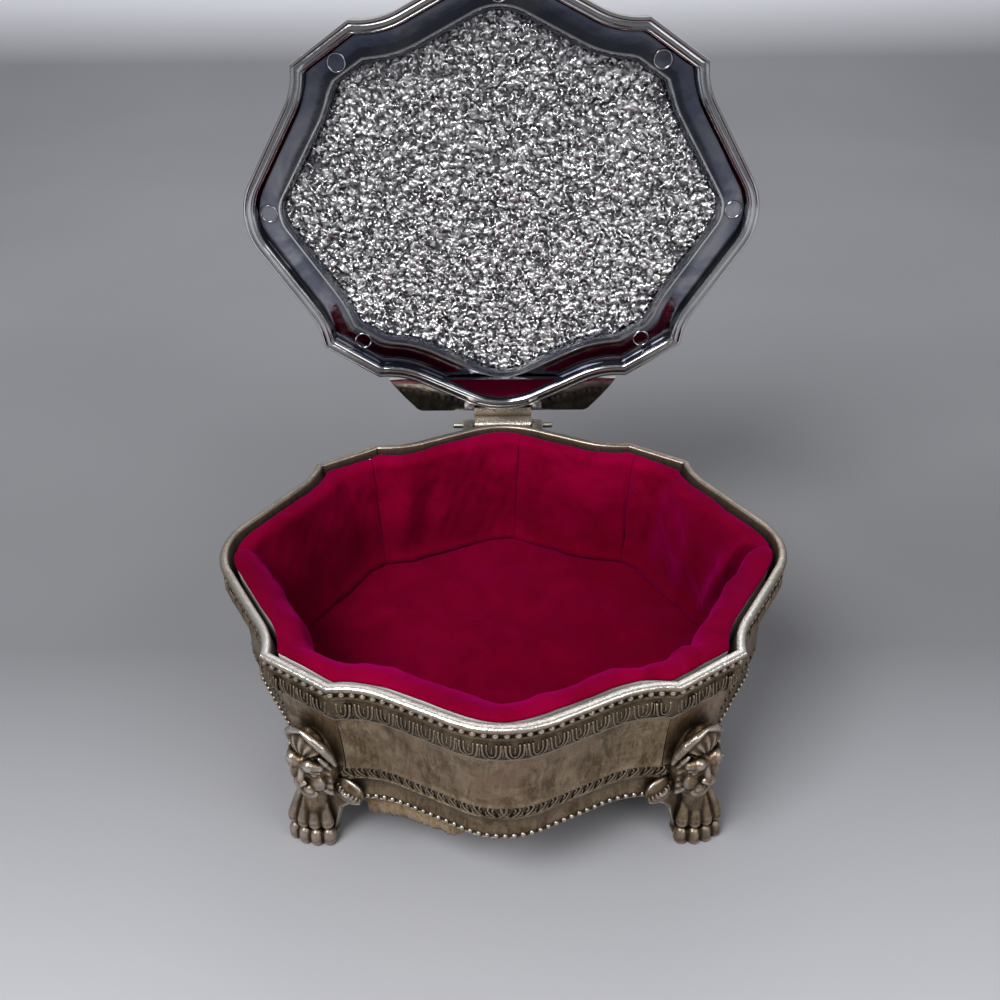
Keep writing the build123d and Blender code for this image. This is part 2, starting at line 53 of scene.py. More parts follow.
# Sizes are in millimetres, as in the source of the part, and become metres in the meshes.
# The outline is the rim seen from above, and a name that ends in _IN is a distance in from it.
MM = 0.001
HALF_WIDTH = 74.5
HALF_DEPTH = 64.0
FRONT_CORNER = (39.0, 52.0)
SIDE_CORNER = (56.0, 41.0)
FRONT_BOW = (26.0, 23.0, 7.0)
SIDE_BOW = (20.0, 20.0, 0.0)
RUBBED_FROM = 63.3
OVOLO_TOP = 59.9
OVOLO_FOOT = 53.3
FIELD_TOP = 52.5
LEAF_FOOT = 30.3
SKIRT_BEAD_TOP = 23.3
SKIRT = 21.4
WALL = 1.8
LEAN = 0.07
HINGE = (66.9, 62.0)
BARREL_RADIUS = 2.0
BARREL_HALF = 9.2
OPEN_ANGLE = 90.0
CROWN_TOP = 78.2
SHEET = 2.0
PANEL_STEP_IN = 10.7
PANEL_BED_IN = 11.9
CANTED_WIDTH = math.hypot(SIDE_CORNER[0] - FRONT_CORNER[0], SIDE_CORNER[1] - FRONT_CORNER[1])
CANTED_MIDDLE = ((FRONT_CORNER[0] + SIDE_CORNER[0]) / 2, (FRONT_CORNER[1] + SIDE_CORNER[1]) / 2)
CANTED_ANGLE = math.degrees(math.atan2(FRONT_CORNER[1] - SIDE_CORNER[1], SIDE_CORNER[0] - FRONT_CORNER[0]))
FRONT_MITRE = math.radians((CANTED_ANGLE + FRONT_BOW[2]) / 2)
SIDE_MITRE = math.radians((90 - CANTED_ANGLE + SIDE_BOW[2]) / 2)
PAW_TURN = 19.0
PAW_MIDDLE = (5.43, -3.73)
LINING_IN = 8.0
VELVET_IN = 8.07
VELVET_FOOT = 24.5
VELVET_TOP = 62.5


def lean_in(z):
    """How far in from the rim outline the plain field stands at a height."""
    return 2.7 + LEAN * (FIELD_TOP - z)


# Outline


class Wall:
    """One of the eight walls of the outline, seen from above. A place on it is a share u
    of its length and a distance in from the rim outline, and its ends are mitred."""

    def __init__(self, name, table, place, first_mitre, last_mitre):
        self.name = name
        self.s, self.x, self.y, self.h = table
        self.length = self.s[-1]
        self.place = place
        self.first = math.tan(first_mitre)
        self.last = math.tan(last_mitre)

    def at(self, u, inset):
        """Plan points and outward directions."""
        u, inset = np.broadcast_arrays(np.asarray(u, float), np.asarray(inset, float))
        s = inset * self.first + u * (self.length - inset * (self.first + self.last))
        x = np.interp(s, self.s, self.x)
        y = np.interp(s, self.s, self.y)
        h = np.interp(s, self.s, self.h)
        before = np.minimum(s, 0)
        after = np.maximum(s - self.length, 0)
        x = x + before * math.cos(self.h[0]) + after * math.cos(self.h[-1])
        y = y + before * math.sin(self.h[0]) + after * math.sin(self.h[-1])
        nx, ny = -np.sin(h), np.cos(h)
        x, y = x - inset * nx, y - inset * ny
        ox, oy, turn = self.place
        c, d = math.cos(turn), math.sin(turn)
        return ox + x * c - y * d, oy + x * d + y * c, nx * c - ny * d, nx * d + ny * c


def bowed_table(middle_out, corner, bow, steps=3000):
    """A bow in the middle, a straight run each way and a hollow shoulder at each corner."""
    bow_radius, shoulder_radius, shoulder_angle = bow
    rise = math.radians(shoulder_angle)
    along = corner[0] - shoulder_radius * math.sin(rise)
    out = bow_radius + shoulder_radius * math.cos(rise) - (middle_out - corner[1])
    both = bow_radius + shoulder_radius
    run = math.sqrt(along**2 + out**2 - both**2)
    slope = math.atan2(both, run) - math.atan2(out, along)
    turn = slope + rise
    pieces = [
        (shoulder_radius * turn, 1 / shoulder_radius),
        (run, 0.0),
        (2 * slope * bow_radius, -1 / bow_radius),
        (run, 0.0),
        (shoulder_radius * turn, 1 / shoulder_radius),
    ]
    ends = np.cumsum([0.0] + [p[0] for p in pieces])
    headings = [-rise]
    for length, bend in pieces:
        headings.append(headings[-1] + length * bend)
    s = np.linspace(0, ends[-1], steps)
    h = np.interp(s, ends, headings)
    mid = (h[1:] + h[:-1]) / 2
    ds = np.diff(s)
    x = -corner[0] + np.concatenate([[0], np.cumsum(np.cos(mid) * ds)])
    y = corner[1] + np.concatenate([[0], np.cumsum(np.sin(mid) * ds)])
    return s, x, y, h


def canted_table():
    """The straight canted wall between two bowed ones."""
    s = np.linspace(0, CANTED_WIDTH, 3)
    return s, s - CANTED_WIDTH / 2, np.zeros(3), np.zeros(3)


def make_walls():
    """The eight walls in ring order, seen from above: rear first, then clockwise."""
    front = bowed_table(HALF_DEPTH, FRONT_CORNER, FRONT_BOW)
    end = bowed_table(HALF_WIDTH, (SIDE_CORNER[1], SIDE_CORNER[0]), SIDE_BOW)
    canted = canted_table()
    cx, cy = CANTED_MIDDLE
    a = math.radians(CANTED_ANGLE)
    f, e = FRONT_MITRE, SIDE_MITRE
    turn = math.radians
    return [
        Wall("rear", front, (0, 0, 0), f, f),
        Wall("rear_right", canted, (cx, cy, -a), f, e),
        Wall("right", end, (0, 0, turn(-90)), e, e),
        Wall("front_right", canted, (cx, -cy, -math.pi + a), e, f),
        Wall("front", front, (0, 0, turn(180)), f, f),
        Wall("front_left", canted, (-cx, -cy, math.pi - a), f, e),
        Wall("left", end, (0, 0, turn(90)), e, e),
        Wall("rear_left", canted, (-cx, cy, a), e, f),
    ]


walls = make_walls()
wall_of = {w.name: w for w in walls}
SIDES = ("rear", "right", "front", "left")
CORNERS = ("rear_right", "front_right", "front_left", "rear_left")


def ring_shares(side_steps, corner_steps):
    """Wall and share of each point of a ring round the outline, without doubled corners."""
    out = []
    for i, w in enumerate(walls):
        n = side_steps if w.name in SIDES else corner_steps
        out += [(i, k / n) for k in range(n)]
    return out


def ring(shares, inset):
    """Plan points of a closed ring at a distance in, which may differ from point to point."""
    inset = np.broadcast_to(np.asarray(inset, float), (len(shares),))
    index = np.array([s[0] for s in shares])
    u = np.array([s[1] for s in shares])
    xy = np.zeros((len(shares), 4))
    for i, w in enumerate(walls):
        pick = index == i
        xy[pick] = np.stack(w.at(u[pick], inset[pick]), 1)
    return xy


# Meshes


def ripple(points, scale, seed, octaves=3):
    """Smooth noise from -1 to 1 at points, made of crossing waves, the same each run."""
    rng = np.random.default_rng(seed)
    total = np.zeros(len(points))
    weight = 0.0
    for octave in range(octaves):
        for _ in range(6):
            way = rng.normal(size=3)
            way /= np.linalg.norm(way)
            wave = 2 * math.pi / (scale / 2**octave) * rng.uniform(0.7, 1.3)
            total += np.sin(points @ way * wave + rng.uniform(0, 6.28)) / 2**octave
        weight += 2.2 / 2**octave
    return total / weight


class Shell:
    """Collects points, faces and surface values, and becomes one mesh object."""

    def __init__(self):
        self.points, self.faces, self.values = [], [], {}
        self.count = 0

    def add(self, points, faces, **values):
        """Adds a body, with its tarnish and wear as one number or one for each point."""
        points = np.asarray(points, float).reshape(-1, 3)
        self.points.append(points)
        n = self.count
        for f in faces:
            self.faces.append([int(v) + n for v in f])
        for key in ("tarnish", "wear"):
            value = np.asarray(values.get(key, 0.0), float)
            self.values.setdefault(key, []).append(np.broadcast_to(value, (len(points),)))
        self.count += len(points)

    def moved(self, function):
        """Moves every point by a function of all points of a body."""
        self.points = [function(p) for p in self.points]
        return self

    def object(self, name, material=None, smooth_angle=40.0):
        """One mesh object in metres, sharp at edges steeper than an angle."""
        me = bpy.data.meshes.new(name)
        me.from_pydata((np.concatenate(self.points) * MM).tolist(), [], self.faces)
        for key, parts in self.values.items():
            at = me.attributes.new(key, "FLOAT", "POINT")
            at.data.foreach_set("value", np.concatenate(parts).astype(np.float32))
        me.update()
        if smooth_angle >= 180:
            me.shade_smooth()
        else:
            me.set_sharp_from_angle(angle=math.radians(smooth_angle))
        if material:
            me.materials.append(material)
        ob = bpy.data.objects.new(name, me)
        bpy.context.scene.collection.objects.link(ob)
        return ob


def grid_faces(rows, columns, wrap_rows=False, wrap_columns=False, flip=False):
    """Four-sided faces between rows of points."""
    r = np.arange(rows if wrap_rows else rows - 1)
    c = np.arange(columns if wrap_columns else columns - 1)
    a, b = np.meshgrid(r, c, indexing="ij")
    a2, b2 = (a + 1) % rows, (b + 1) % columns
    q = np.stack([a * columns + b, a * columns + b2, a2 * columns + b2, a2 * columns + b], -1).reshape(-1, 4)
    return (q[:, ::-1] if flip else q).tolist()


def tube_faces(rows, around):
    """Faces of a tube of rings, closed at both ends."""
    start = list(range(around))
    end = [(rows - 1) * around + k for k in start]
    return grid_faces(rows, around, wrap_columns=True) + [start[::-1], end]


def fan_faces(middle, first, count, flip=False):
    """Triangles from a middle point to a closed ring of points that starts at first."""
    out = [(first + k, first + (k + 1) % count) for k in range(count)]
    return [[middle, b, a] if flip else [middle, a, b] for a, b in out]


def circle(x, y, radius, count):
    """Points of a circle, from the right and anticlockwise."""
    turns = [2 * math.pi * k / count for k in range(count)]
    return [(x + radius * math.cos(a), y + radius * math.sin(a)) for a in turns]


def opened(points):
    """Turns points of the shut lid back on the hinge to its stop."""
    a = math.radians(-OPEN_ANGLE)
    c, s = math.cos(a), math.sin(a)
    y = points[:, 1] - HINGE[0]
    z = points[:, 2] - HINGE[1]
    return np.stack([points[:, 0], HINGE[0] + y * c - z * s, HINGE[1] + y * s + z * c], 1)


def dense(profile, step):
    """Fills a list of (inset, height, tarnish, wear) with points no further apart than a step."""
    out = []
    for p, q in zip(profile, profile[1:]):
        n = max(1, math.ceil(math.hypot(q[0] - p[0], q[1] - p[1]) / step))
        for k in range(n):
            t = k / n
            out.append([p[i] + (q[i] - p[i]) * t for i in range(4)])
    out.append(list(profile[-1]))
    return out


def arc_run(start, end, swell, count, tarnish, wear):
    """Points from start to end, both (inset, height), bulging outward in the middle."""
    out = []
    for k in range(count + 1):
        t = k / count
        bulge = swell * math.sin(math.pi * t)
        inset = start[0] + (end[0] - start[0]) * t - bulge
        out.append((inset, start[1] + (end[1] - start[1]) * t, tarnish, wear))
    return out


def ovolo_in(t):
    """Distance in of the ovolo at a share of its height, from its foot."""
    return 2.0 + (0.9 - 2.0) * t - 0.85 * math.sin(math.pi * t**0.85)


def wall_profile():
    """Section of the case wall: distance in, height, tarnish and wear."""
    foot_in = lean_in(SKIRT)
    # foot and bed of the lower beads
    p = [(foot_in + WALL, SKIRT, 0.8, 0), (foot_in + 0.35, SKIRT, 0.6, 0)]
    p += [(foot_in - 0.1, SKIRT + 0.15, 0.2, 0.2), (foot_in - 0.15, SKIRT + 0.4, 0.1, 0.2)]
    p += [(foot_in + 0.15, SKIRT + 0.55, 0.6, 0)]
    p += [(foot_in + 0.15, SKIRT_BEAD_TOP - 0.1, 0.8, 0), (foot_in - 0.15, SKIRT_BEAD_TOP + 0.1, 0.5, 0.1)]
    # hollow, bed of the leaves and plain field
    p += arc_run((lean_in(24) - 0.1, 24.0), (lean_in(30.0) - 0.1, 29.6), -0.75, 12, 0.6, 0.0)
    p += [(lean_in(30) - 0.35, 29.9, 0.5, 0), (lean_in(30) - 0.4, 30.3, 0.5, 0)]
    p += [(lean_in(30.7) - 0.05, 30.6, 0.9, 0), (lean_in(33.8) - 0.05, 33.8, 0.9, 0)]
    p += [(lean_in(34) - 0.3, 34.0, 0.3, 0.05), (lean_in(34.4) - 0.3, 34.4, 0.2, 0.05)]
    p += dense(arc_run((lean_in(34.8), 34.8), (2.7, 52.0), -0.3, 14, 0.0, 0.0), 1.2)
    # fillet, ovolo and bed of the upper beads
    p += [(2.55, 52.5, 0.5, 0), (1.9, 52.65, 0.1, 0.2), (1.75, 53.0, 0.1, 0.3), (1.9, 53.3, 0.5, 0)]
    p += [(ovolo_in(k / 14), OVOLO_FOOT + (OVOLO_TOP - OVOLO_FOOT) * k / 14, 1.15, 0) for k in range(15)]
    p += [(0.75, 60.2, 0.7, 0), (0.6, 60.7, 0.5, 0), (0.8, 61.1, 0.6, 0), (1.25, 61.25, 0.9, 0)]
    p += [(1.3, 62.6, 0.6, 0), (1.0, 62.9, 0.6, 0), (0.4, 63.0, 0.4, 0), (0.1, 63.15, 0.2, 0)]
    p += [(0.04, 63.4, 0.2, 0)]
    # lip, rubbed bright along its top, and the inner face
    p += [(0.05, 63.6, 0.1, 0.1), (0.2, 63.95, 0, 0.4), (0.45, 64.24, 0, 0.9), (0.8, 64.36, 0, 1)]
    p += [(1.2, 64.4, 0, 1), (1.9, 64.37, 0, 1), (2.2, 64.2, 0, 1), (2.32, 63.9, 0.2, 0.7)]
    p += [(2.35, 62.7, 0.6, 0.1), (4.5, FIELD_TOP, 0.7, 0), (5.5, 38.0, 0.7, 0)]
    return p


def swept_wall(wall, steps, seed):
    """The whole section along one wall, closed at both mitres."""
    profile = np.array(wall_profile())
    n = len(profile)
    u = np.linspace(0, 1, steps + 1)
    x, y, nx, ny = wall.at(u[:, None], profile[None, :, 0])
    z = np.broadcast_to(profile[None, :, 1], x.shape)
    points = np.stack([x, y, z], -1).reshape(-1, 3)
    outward = np.stack([nx, ny, np.zeros_like(nx)], -1).reshape(-1, 3)
    dents = ripple(points, 26.0, seed, 2) * 0.07 + ripple(points, 6.0, seed + 1, 2) * 0.025
    ends = np.minimum(u, 1 - u)[:, None] * wall.length
    quiet = np.broadcast_to(np.clip(ends / 3, 0, 1), x.shape).reshape(-1)
    points = points + outward * (dents * quiet)[:, None]
    # the lip is rubbed less at the sides and the rear, and is painted darker there as a painted reflection of
    # the dark velvet lining
    rubbed = np.where(points[:, 2] > RUBBED_FROM, np.clip((18 - points[:, 1]) / 60, 0.28, 1), 1)
    tarnish = np.tile(profile[:, 2], steps + 1) + (1 - rubbed) * 0.45
    wear = np.tile(profile[:, 3], steps + 1) * rubbed
    shell = Shell()
    shell.add(points, tube_faces(steps + 1, n), tarnish=tarnish, wear=wear)
    return shell


# Repeated ornament, made with Geometry Nodes


def node(tree, kind, **settings):
    """A new node, with its settings, and its numbered inputs given as in_0, in_1."""
    made = tree.nodes.new(kind)
    for key, value in settings.items():
        if key.startswith("in_"):
            made.inputs[int(key[3:])].default_value = value
        else:
            setattr(made, key, value)
    return made


def shape_tree(name, lengths=(), **inputs):
    """An empty tree with a shape in and out and named inputs, some of them lengths."""
    tree = bpy.data.node_groups.new(name, "GeometryNodeTree")
    face = tree.interface
    for key, kind in {"Geometry": "Geometry", **inputs, "Seed": "Int", "Material": "Material"}.items():
        socket = face.new_socket(key, in_out="INPUT", socket_type="NodeSocket" + kind)
        if key in lengths:
            socket.subtype = "DISTANCE"
    face.new_socket("Geometry", in_out="OUTPUT", socket_type="NodeSocketGeometry")
    return tree, node(tree, "NodeGroupInput"), node(tree, "NodeGroupOutput")


def ornament_tree():
    """A run of one unit along curves: X of the unit follows the curve and Z stays up."""
    tree, source, sink = shape_tree(
        "Run of ornament", ("Pitch",), Unit="Object", Pitch="Float", Unevenness="Float"
    )
    resample = node(tree, "GeometryNodeResampleCurve", mode="LENGTH")
    info = node(tree, "GeometryNodeObjectInfo")
    tangent = node(tree, "GeometryNodeInputTangent")
    align = node(tree, "FunctionNodeAlignRotationToVector", axis="X", pivot_axis="Z")
    low = node(tree, "ShaderNodeMath", operation="SUBTRACT", in_0=1.0)
    high = node(tree, "ShaderNodeMath", operation="ADD", in_0=1.0)
    size = node(tree, "FunctionNodeRandomValue", data_type="FLOAT")
    place = node(tree, "GeometryNodeInstanceOnPoints")
    real = node(tree, "GeometryNodeRealizeInstances")
    paint = node(tree, "GeometryNodeSetMaterial")
    link = tree.links.new
    link(source.outputs["Geometry"], resample.inputs["Curve"])
    link(source.outputs["Pitch"], resample.inputs["Length"])
    link(source.outputs["Unit"], info.inputs["Object"])
    link(source.outputs["Unevenness"], low.inputs[1])
    link(source.outputs["Unevenness"], high.inputs[1])
    link(low.outputs[0], size.inputs[2])
    link(high.outputs[0], size.inputs[3])
    link(source.outputs["Seed"], size.inputs["Seed"])
    link(tangent.outputs[0], align.inputs["Vector"])
    link(resample.outputs[0], place.inputs["Points"])
    link(info.outputs["Geometry"], place.inputs["Instance"])
    link(align.outputs[0], place.inputs["Rotation"])
    link(size.outputs[1], place.inputs["Scale"])
    link(place.outputs[0], real.inputs[0])
    link(real.outputs[0], paint.inputs["Geometry"])
    link(source.outputs["Material"], paint.inputs["Material"])
    link(paint.outputs[0], sink.inputs[0])
    return tree


def set_inputs(modifier, **values):
    """Sets inputs of a Geometry Nodes modifier by their identifiers."""
    for item in modifier.node_group.interface.items_tree:
        if item.in_out == "INPUT" and item.name in values:
            modifier[item.identifier] = values[item.name]


def baked(holder, name):
    """The modified shape of an object as a plain mesh object of its own."""
    graph = bpy.context.evaluated_depsgraph_get()
    finished = holder.evaluated_get(graph)
    me = bpy.data.meshes.new_from_object(finished, preserve_all_data_layers=True, depsgraph=graph)
    me.name = name
    ob = bpy.data.objects.new(name, me)
    bpy.context.scene.collection.objects.link(ob)
    return ob


def run_of(name, runs, unit, pitch, material, uneven, seed, closed=False):
    """Places a unit along runs of plan points at one height, and bakes the result."""
    cu = bpy.data.curves.new(name + "_path", "CURVE")
    cu.dimensions = "3D"
    for run in runs:
        sp = cu.splines.new("POLY")
        sp.points.add(len(run) - 1)
        co = np.c_[run * MM, np.ones(len(run))]
        sp.points.foreach_set("co", co.astype(np.float32).ravel())
        sp.use_cyclic_u = closed
    path = bpy.data.objects.new(name + "_path", cu)
    bpy.context.scene.collection.objects.link(path)
    mod = path.modifiers.new("Run", "NODES")
    mod.node_group = bpy.data.node_groups.get("Run of ornament") or ornament_tree()
    set_inputs(mod, Unit=unit, Pitch=pitch * MM, Unevenness=uneven, Seed=seed, Material=material)
    out = baked(path, name)
    bpy.data.objects.remove(path)
    bpy.data.objects.remove(unit)
    return out


def case_ring(inset, z):
    """A closed run round the whole case at one height."""
    xy = ring(ring_shares(160, 12), inset)[:, :2]
    return np.c_[xy, np.full(len(xy), z)]


def half_runs(inset, z, toward_end):
    """One run for each bowed wall, from its middle to one of its ends."""
    out = []
    for side in SIDES:
        u = np.linspace(0.5, 1.0 if toward_end else 0.0, 60)
        x, y, _, _ = wall_of[side].at(u, inset)
        out.append(np.c_[x, y, np.full(len(u), z)])
    return out


def bead_unit(name, radius, rings=6, around=10):
    """A bead as a small closed ball, rubbed bright on its upper outer side."""
    pts = [(0, 0, radius)]
    for i in range(1, rings):
        a = math.pi * i / rings
        pts += [(x, y, radius * math.cos(a)) for x, y in circle(0, 0, radius * math.sin(a), around)]
    pts.append((0, 0, -radius))
    faces = fan_faces(0, 1, around)
    for i in range(rings - 2):
        for k in range(around):
            a = 1 + i * around + k
            b = 1 + i * around + (k + 1) % around
            faces.append([a, a + around, b + around, b])
    faces += fan_faces(len(pts) - 1, 1 + (rings - 2) * around, around, flip=True)
    shell = Shell()
    p = np.array(pts)
    shell.add(p, faces, tarnish=0.0, wear=np.clip((p[:, 1] + p[:, 2]) / radius * 0.4, 0, 0.45))
    return shell.object(name, smooth_angle=180)


def ridge(shell, line, half_width, height, surface, sides=5, wear=0.8, taper=True):
    """A rounded ridge along a line of (x, z) places on a surface y = surface(x, z)."""
    line = np.asarray(line, float)
    n = len(line)
    way = np.gradient(line, axis=0)
    way /= np.maximum(np.linalg.norm(way, axis=1, keepdims=True), 1e-9)
    side = np.c_[-way[:, 1], way[:, 0]]
    t = np.linspace(0, 1, n)
    swell = np.clip(np.minimum(t, 1 - t) * 6, 0.25, 1) if taper else np.ones(n)
    pts, ws = [], []
    for i in range(n):
        for k in range(sides):
            a = math.pi * k / (sides - 1)
            off = math.cos(a) * half_width * swell[i]
            x, z = line[i] + side[i] * off
            up = math.sin(a) * height * swell[i] - (0.15 if k in (0, sides - 1) else 0.0)
            pts.append((x, surface(x, z) + up, z))
            ws.append(wear * math.sin(a))
    ws = np.array(ws)
    shell.add(pts, tube_faces(n, sides), tarnish=np.clip(0.95 - ws, 0.1, 1), wear=ws * 0.16)


def outward_faces(ob):
    """Turns the faces of closed bodies outward."""
    bm = bmesh.new()
    bm.from_mesh(ob.data)
    bmesh.ops.recalc_face_normals(bm, faces=bm.faces)
    bm.to_mesh(ob.data)
    bm.free()
    return ob


def egg_unit(name, pitch):
    """One egg in its double loop, with a dart beside it, on the ovolo. The unit's origin is
    at the foot of the ovolo on the rim outline."""
    tall = OVOLO_TOP - OVOLO_FOOT

    def surface(x, z):
        t = min(max(z / tall, 0.0), 1.0)
        return -ovolo_in(t) - x * x / 60.0

    shell = Shell()
    top = pitch / 2
    cup = [(0.8 * top, 5.9), (0.79 * top, 4.4), (0.7 * top, 2.9), (0.5 * top, 1.55), (0.24 * top, 0.75)]
    egg = [(0.42 * top, 5.9), (0.42 * top, 4.2), (0.34 * top, 2.9), (0.17 * top, 2.0)]
    for loop, foot, half_width, height, wear in ((cup, 0.5, 0.34, 0.42, 0.8), (egg, 1.8, 0.28, 0.36, 0.7)):
        line = loop + [(0, foot)] + [(-x, z) for x, z in loop[::-1]]
        ridge(shell, line, half_width, height, surface, taper=False, wear=wear)
    ridge(shell, [(0, 3.0), (0, 3.9), (0, 5.2)], 0.3, 0.38, surface, wear=0.8)
    ridge(shell, [(top, 1.5), (top, 2.8), (top, 4.4), (top, 5.9)], 0.24, 0.4, surface, wear=0.7)
    for side in (-1, 1):
        foot = [(top * 0.62 * side, 0.35), (top * 0.85 * side, 0.75), (top * 0.97 * side, 1.45)]
        ridge(shell, foot, 0.2, 0.3, surface, sides=3, wear=0.6)
    return outward_faces(shell.object(name, smooth_angle=180))


def leaf_unit(name, mirrored):
    """A small raked leaf with a curled tip, on a flat bed 3.4 mm tall."""

    def surface(x, z):
        return 0.0

    shell = Shell()
    main = [(-1.5, 0.2), (-0.9, 0.55), (-0.2, 1.15), (0.4, 1.9), (0.75, 2.7), (0.6, 3.2), (0.2, 3.1)]
    ridge(shell, main, 0.36, 0.55, surface)
    ridge(shell, [(-1.0, 1.0), (-0.75, 1.7), (-0.3, 2.3), (-0.5, 2.9), (-0.9, 3.1)], 0.3, 0.42, surface)
    ridge(shell, [(-0.3, 0.5), (0.5, 0.6), (1.1, 1.1), (1.35, 1.8)], 0.3, 0.42, surface)
    ridge(shell, [(0.4, 0.15), (1.0, 0.25), (1.6, 0.4)], 0.2, 0.28, surface, sides=3)
    if mirrored:
        shell.moved(lambda p: p * (1, -1, 1))
    return outward_faces(shell.object(name, smooth_angle=180))


# Materials


class Finish:
    """A node material built by short calls."""

    def __init__(self, name):
        self.mat = bpy.data.materials.new(name)
        self.mat.use_nodes = True
        self.tree = self.mat.node_tree
        self.shader = self.tree.nodes["Principled BSDF"]
        self.place = self.new("ShaderNodeTexCoord").outputs["Object"]
        self.parts = None

    def new(self, kind, **settings):
        return node(self.tree, kind, **settings)

    def link(self, a, b):
        self.tree.links.new(a, b)

    def feed(self, socket, value):
        """Gives a socket a number or a colour, or links another node's output to it."""
        if isinstance(value, tuple):
            socket.default_value = (*value, 1.0)
        elif isinstance(value, (int, float)):
            socket.default_value = value
        elif value is not None:
            self.link(value, socket)

    def along(self, axis):
        """Object coordinate X, Y or Z of a place, in metres."""
        if self.parts is None:
            self.parts = self.new("ShaderNodeSeparateXYZ")
            self.link(self.place, self.parts.inputs[0])
        return self.parts.outputs[axis]

    def mapped(self, scale):
        """The place, stretched along its axes."""
        m = self.new("ShaderNodeMapping")
        m.inputs["Scale"].default_value = scale
        self.link(self.place, m.inputs["Vector"])
        return m.outputs[0]

    def noise(self, scale, detail=4.0, rough=0.55, stretch=None, distortion=0.0):
        """Cloudy noise from 0 to 1."""
        n = self.new("ShaderNodeTexNoise")
        n.inputs["Scale"].default_value = scale
        n.inputs["Detail"].default_value = detail
        n.inputs["Roughness"].default_value = rough
        n.inputs["Distortion"].default_value = distortion
        self.link(self.mapped(stretch) if stretch else self.place, n.inputs["Vector"])
        return n.outputs["Fac"]

    def value(self, name):
        """A surface value of the mesh, such as its tarnish or wear."""
        a = self.new("ShaderNodeAttribute")
        a.attribute_name = name
        return a.outputs["Fac"]

    def math(self, kind, a, b=None, clamp=False):
        """A sum, product or the like of numbers and node outputs."""
        m = self.new("ShaderNodeMath", operation=kind, use_clamp=clamp)
        for i, v in enumerate((a, b)):
            self.feed(m.inputs[i], v)
        return m.outputs[0]

    def ramp(self, value, low, high, start=0.0, end=1.0):
        """Start below the low value, end above the high one, and even between them."""
        m = self.new("ShaderNodeMapRange")
        for i, v in enumerate((value, low, high, start, end)):
            self.feed(m.inputs[i], v)
        return m.outputs[0]

    def mix(self, share, a, b):
        """Colour a turned to b by a share."""
        m = self.new("ShaderNodeMix", data_type="RGBA")
        for i, v in ((0, share), (6, a), (7, b)):
            self.feed(m.inputs[i], v)
        return m.outputs[2]

    def bump(self, height, strength, distance, normal=None):
        """A fine relief over a coarser one, if that is given."""
        b = self.new("ShaderNodeBump")
        b.inputs["Strength"].default_value = strength
        b.inputs["Distance"].default_value = distance
        self.link(height, b.inputs["Height"])
        self.feed(b.inputs["Normal"], normal)
        return b.outputs[0]

    def hollow(self, distance):
        """Dirt share from how closed in a place is."""
        ao = self.new("ShaderNodeAmbientOcclusion", samples=6)
        ao.inputs["Distance"].default_value = distance
        return self.math("SUBTRACT", 1.0, ao.outputs["AO"])

    def finish(self, colour=None, rough=None, normal=None, **fixed):
        """Fills the shader and gives back the material."""
        sockets = self.shader.inputs
        for name, v in (("Base Color", colour), ("Roughness", rough), ("Normal", normal)):
            self.feed(sockets[name], v)
        for name, v in fixed.items():
            sockets[name.replace("_", " ")].default_value = v
        return self.mat


def aged_silver():
    """Worn silver plate over white metal: brown bloom on the flats, black in the hollows,
    bright where hands rub it."""
    m = Finish("aged_silver")
    cloud = m.noise(110, 6, 0.72, distortion=0.8)
    streak = m.noise(420, 5, 0.75, (1, 1, 0.28), 1.6)
    speck = m.noise(1700, 3, 0.6)
    bloom = m.math("ADD", m.math("MULTIPLY", cloud, 0.55), m.math("MULTIPLY", streak, 0.45))
    bloom = m.ramp(bloom, 0.43, 0.58)
    grime = m.math("MULTIPLY", m.value("tarnish"), 0.55)
    grime = m.math("ADD", m.math("MULTIPLY", m.hollow(0.002), 1.2), grime)
    grime = m.math("ADD", grime, m.math("MULTIPLY", m.math("SUBTRACT", speck, 0.5), 0.5), clamp=True)
    base = m.mix(bloom, (0.125, 0.08, 0.042), (0.33, 0.245, 0.152))
    base = m.mix(m.ramp(m.noise(60, 4, 0.6, distortion=1.0), 0.52, 0.62, 0.0, 0.6), base, (0.3, 0.195, 0.13))
    wear = m.value("wear")
    base = m.mix(wear, base, (0.8, 0.77, 0.71))
    colour = m.mix(grime, base, (0.045, 0.033, 0.02))
    rough = m.ramp(m.math("ADD", m.math("MULTIPLY", bloom, 0.4), wear), 0.0, 0.9, 0.4, 0.2)
    rough = m.math("ADD", rough, m.math("MULTIPLY", grime, 0.15), clamp=True)
    fine = m.bump(m.noise(1300, 4, 0.6), 0.25, 0.0004)
    normal = m.bump(streak, 0.2, 0.0006, fine)
    return m.finish(colour, rough, normal, Metallic=0.92)


def dark_chrome():
    """The rim and margin inside the lid: dark polished plate, with pale rubbed edges."""
    m = Finish("lid_chrome")
    cloud = m.noise(38, 4, 0.6, distortion=1.2)
    grime = m.math("ADD", m.hollow(0.0012), m.math("MULTIPLY", m.value("tarnish"), 0.6), clamp=True)
    base = m.mix(m.ramp(cloud, 0.42, 0.6), (0.2, 0.21, 0.26), (0.48, 0.48, 0.5))
    # the margin mirrors a darker room toward the top of the open lid
    base = m.mix(m.ramp(m.along("Z"), 0.1, 0.165, 0.0, 0.75), base, (0.03, 0.035, 0.06))
    base = m.mix(m.math("MULTIPLY", m.value("wear"), 0.7), base, (0.62, 0.62, 0.6))
    colour = m.mix(grime, base, (0.018, 0.02, 0.03))
    rough = m.ramp(m.noise(420, 4, 0.6), 0.35, 0.7, 0.08, 0.17)
    normal = m.bump(m.noise(160, 3, 0.5), 0.12, 0.0008)
    return m.finish(colour, rough, normal, Metallic=1.0)


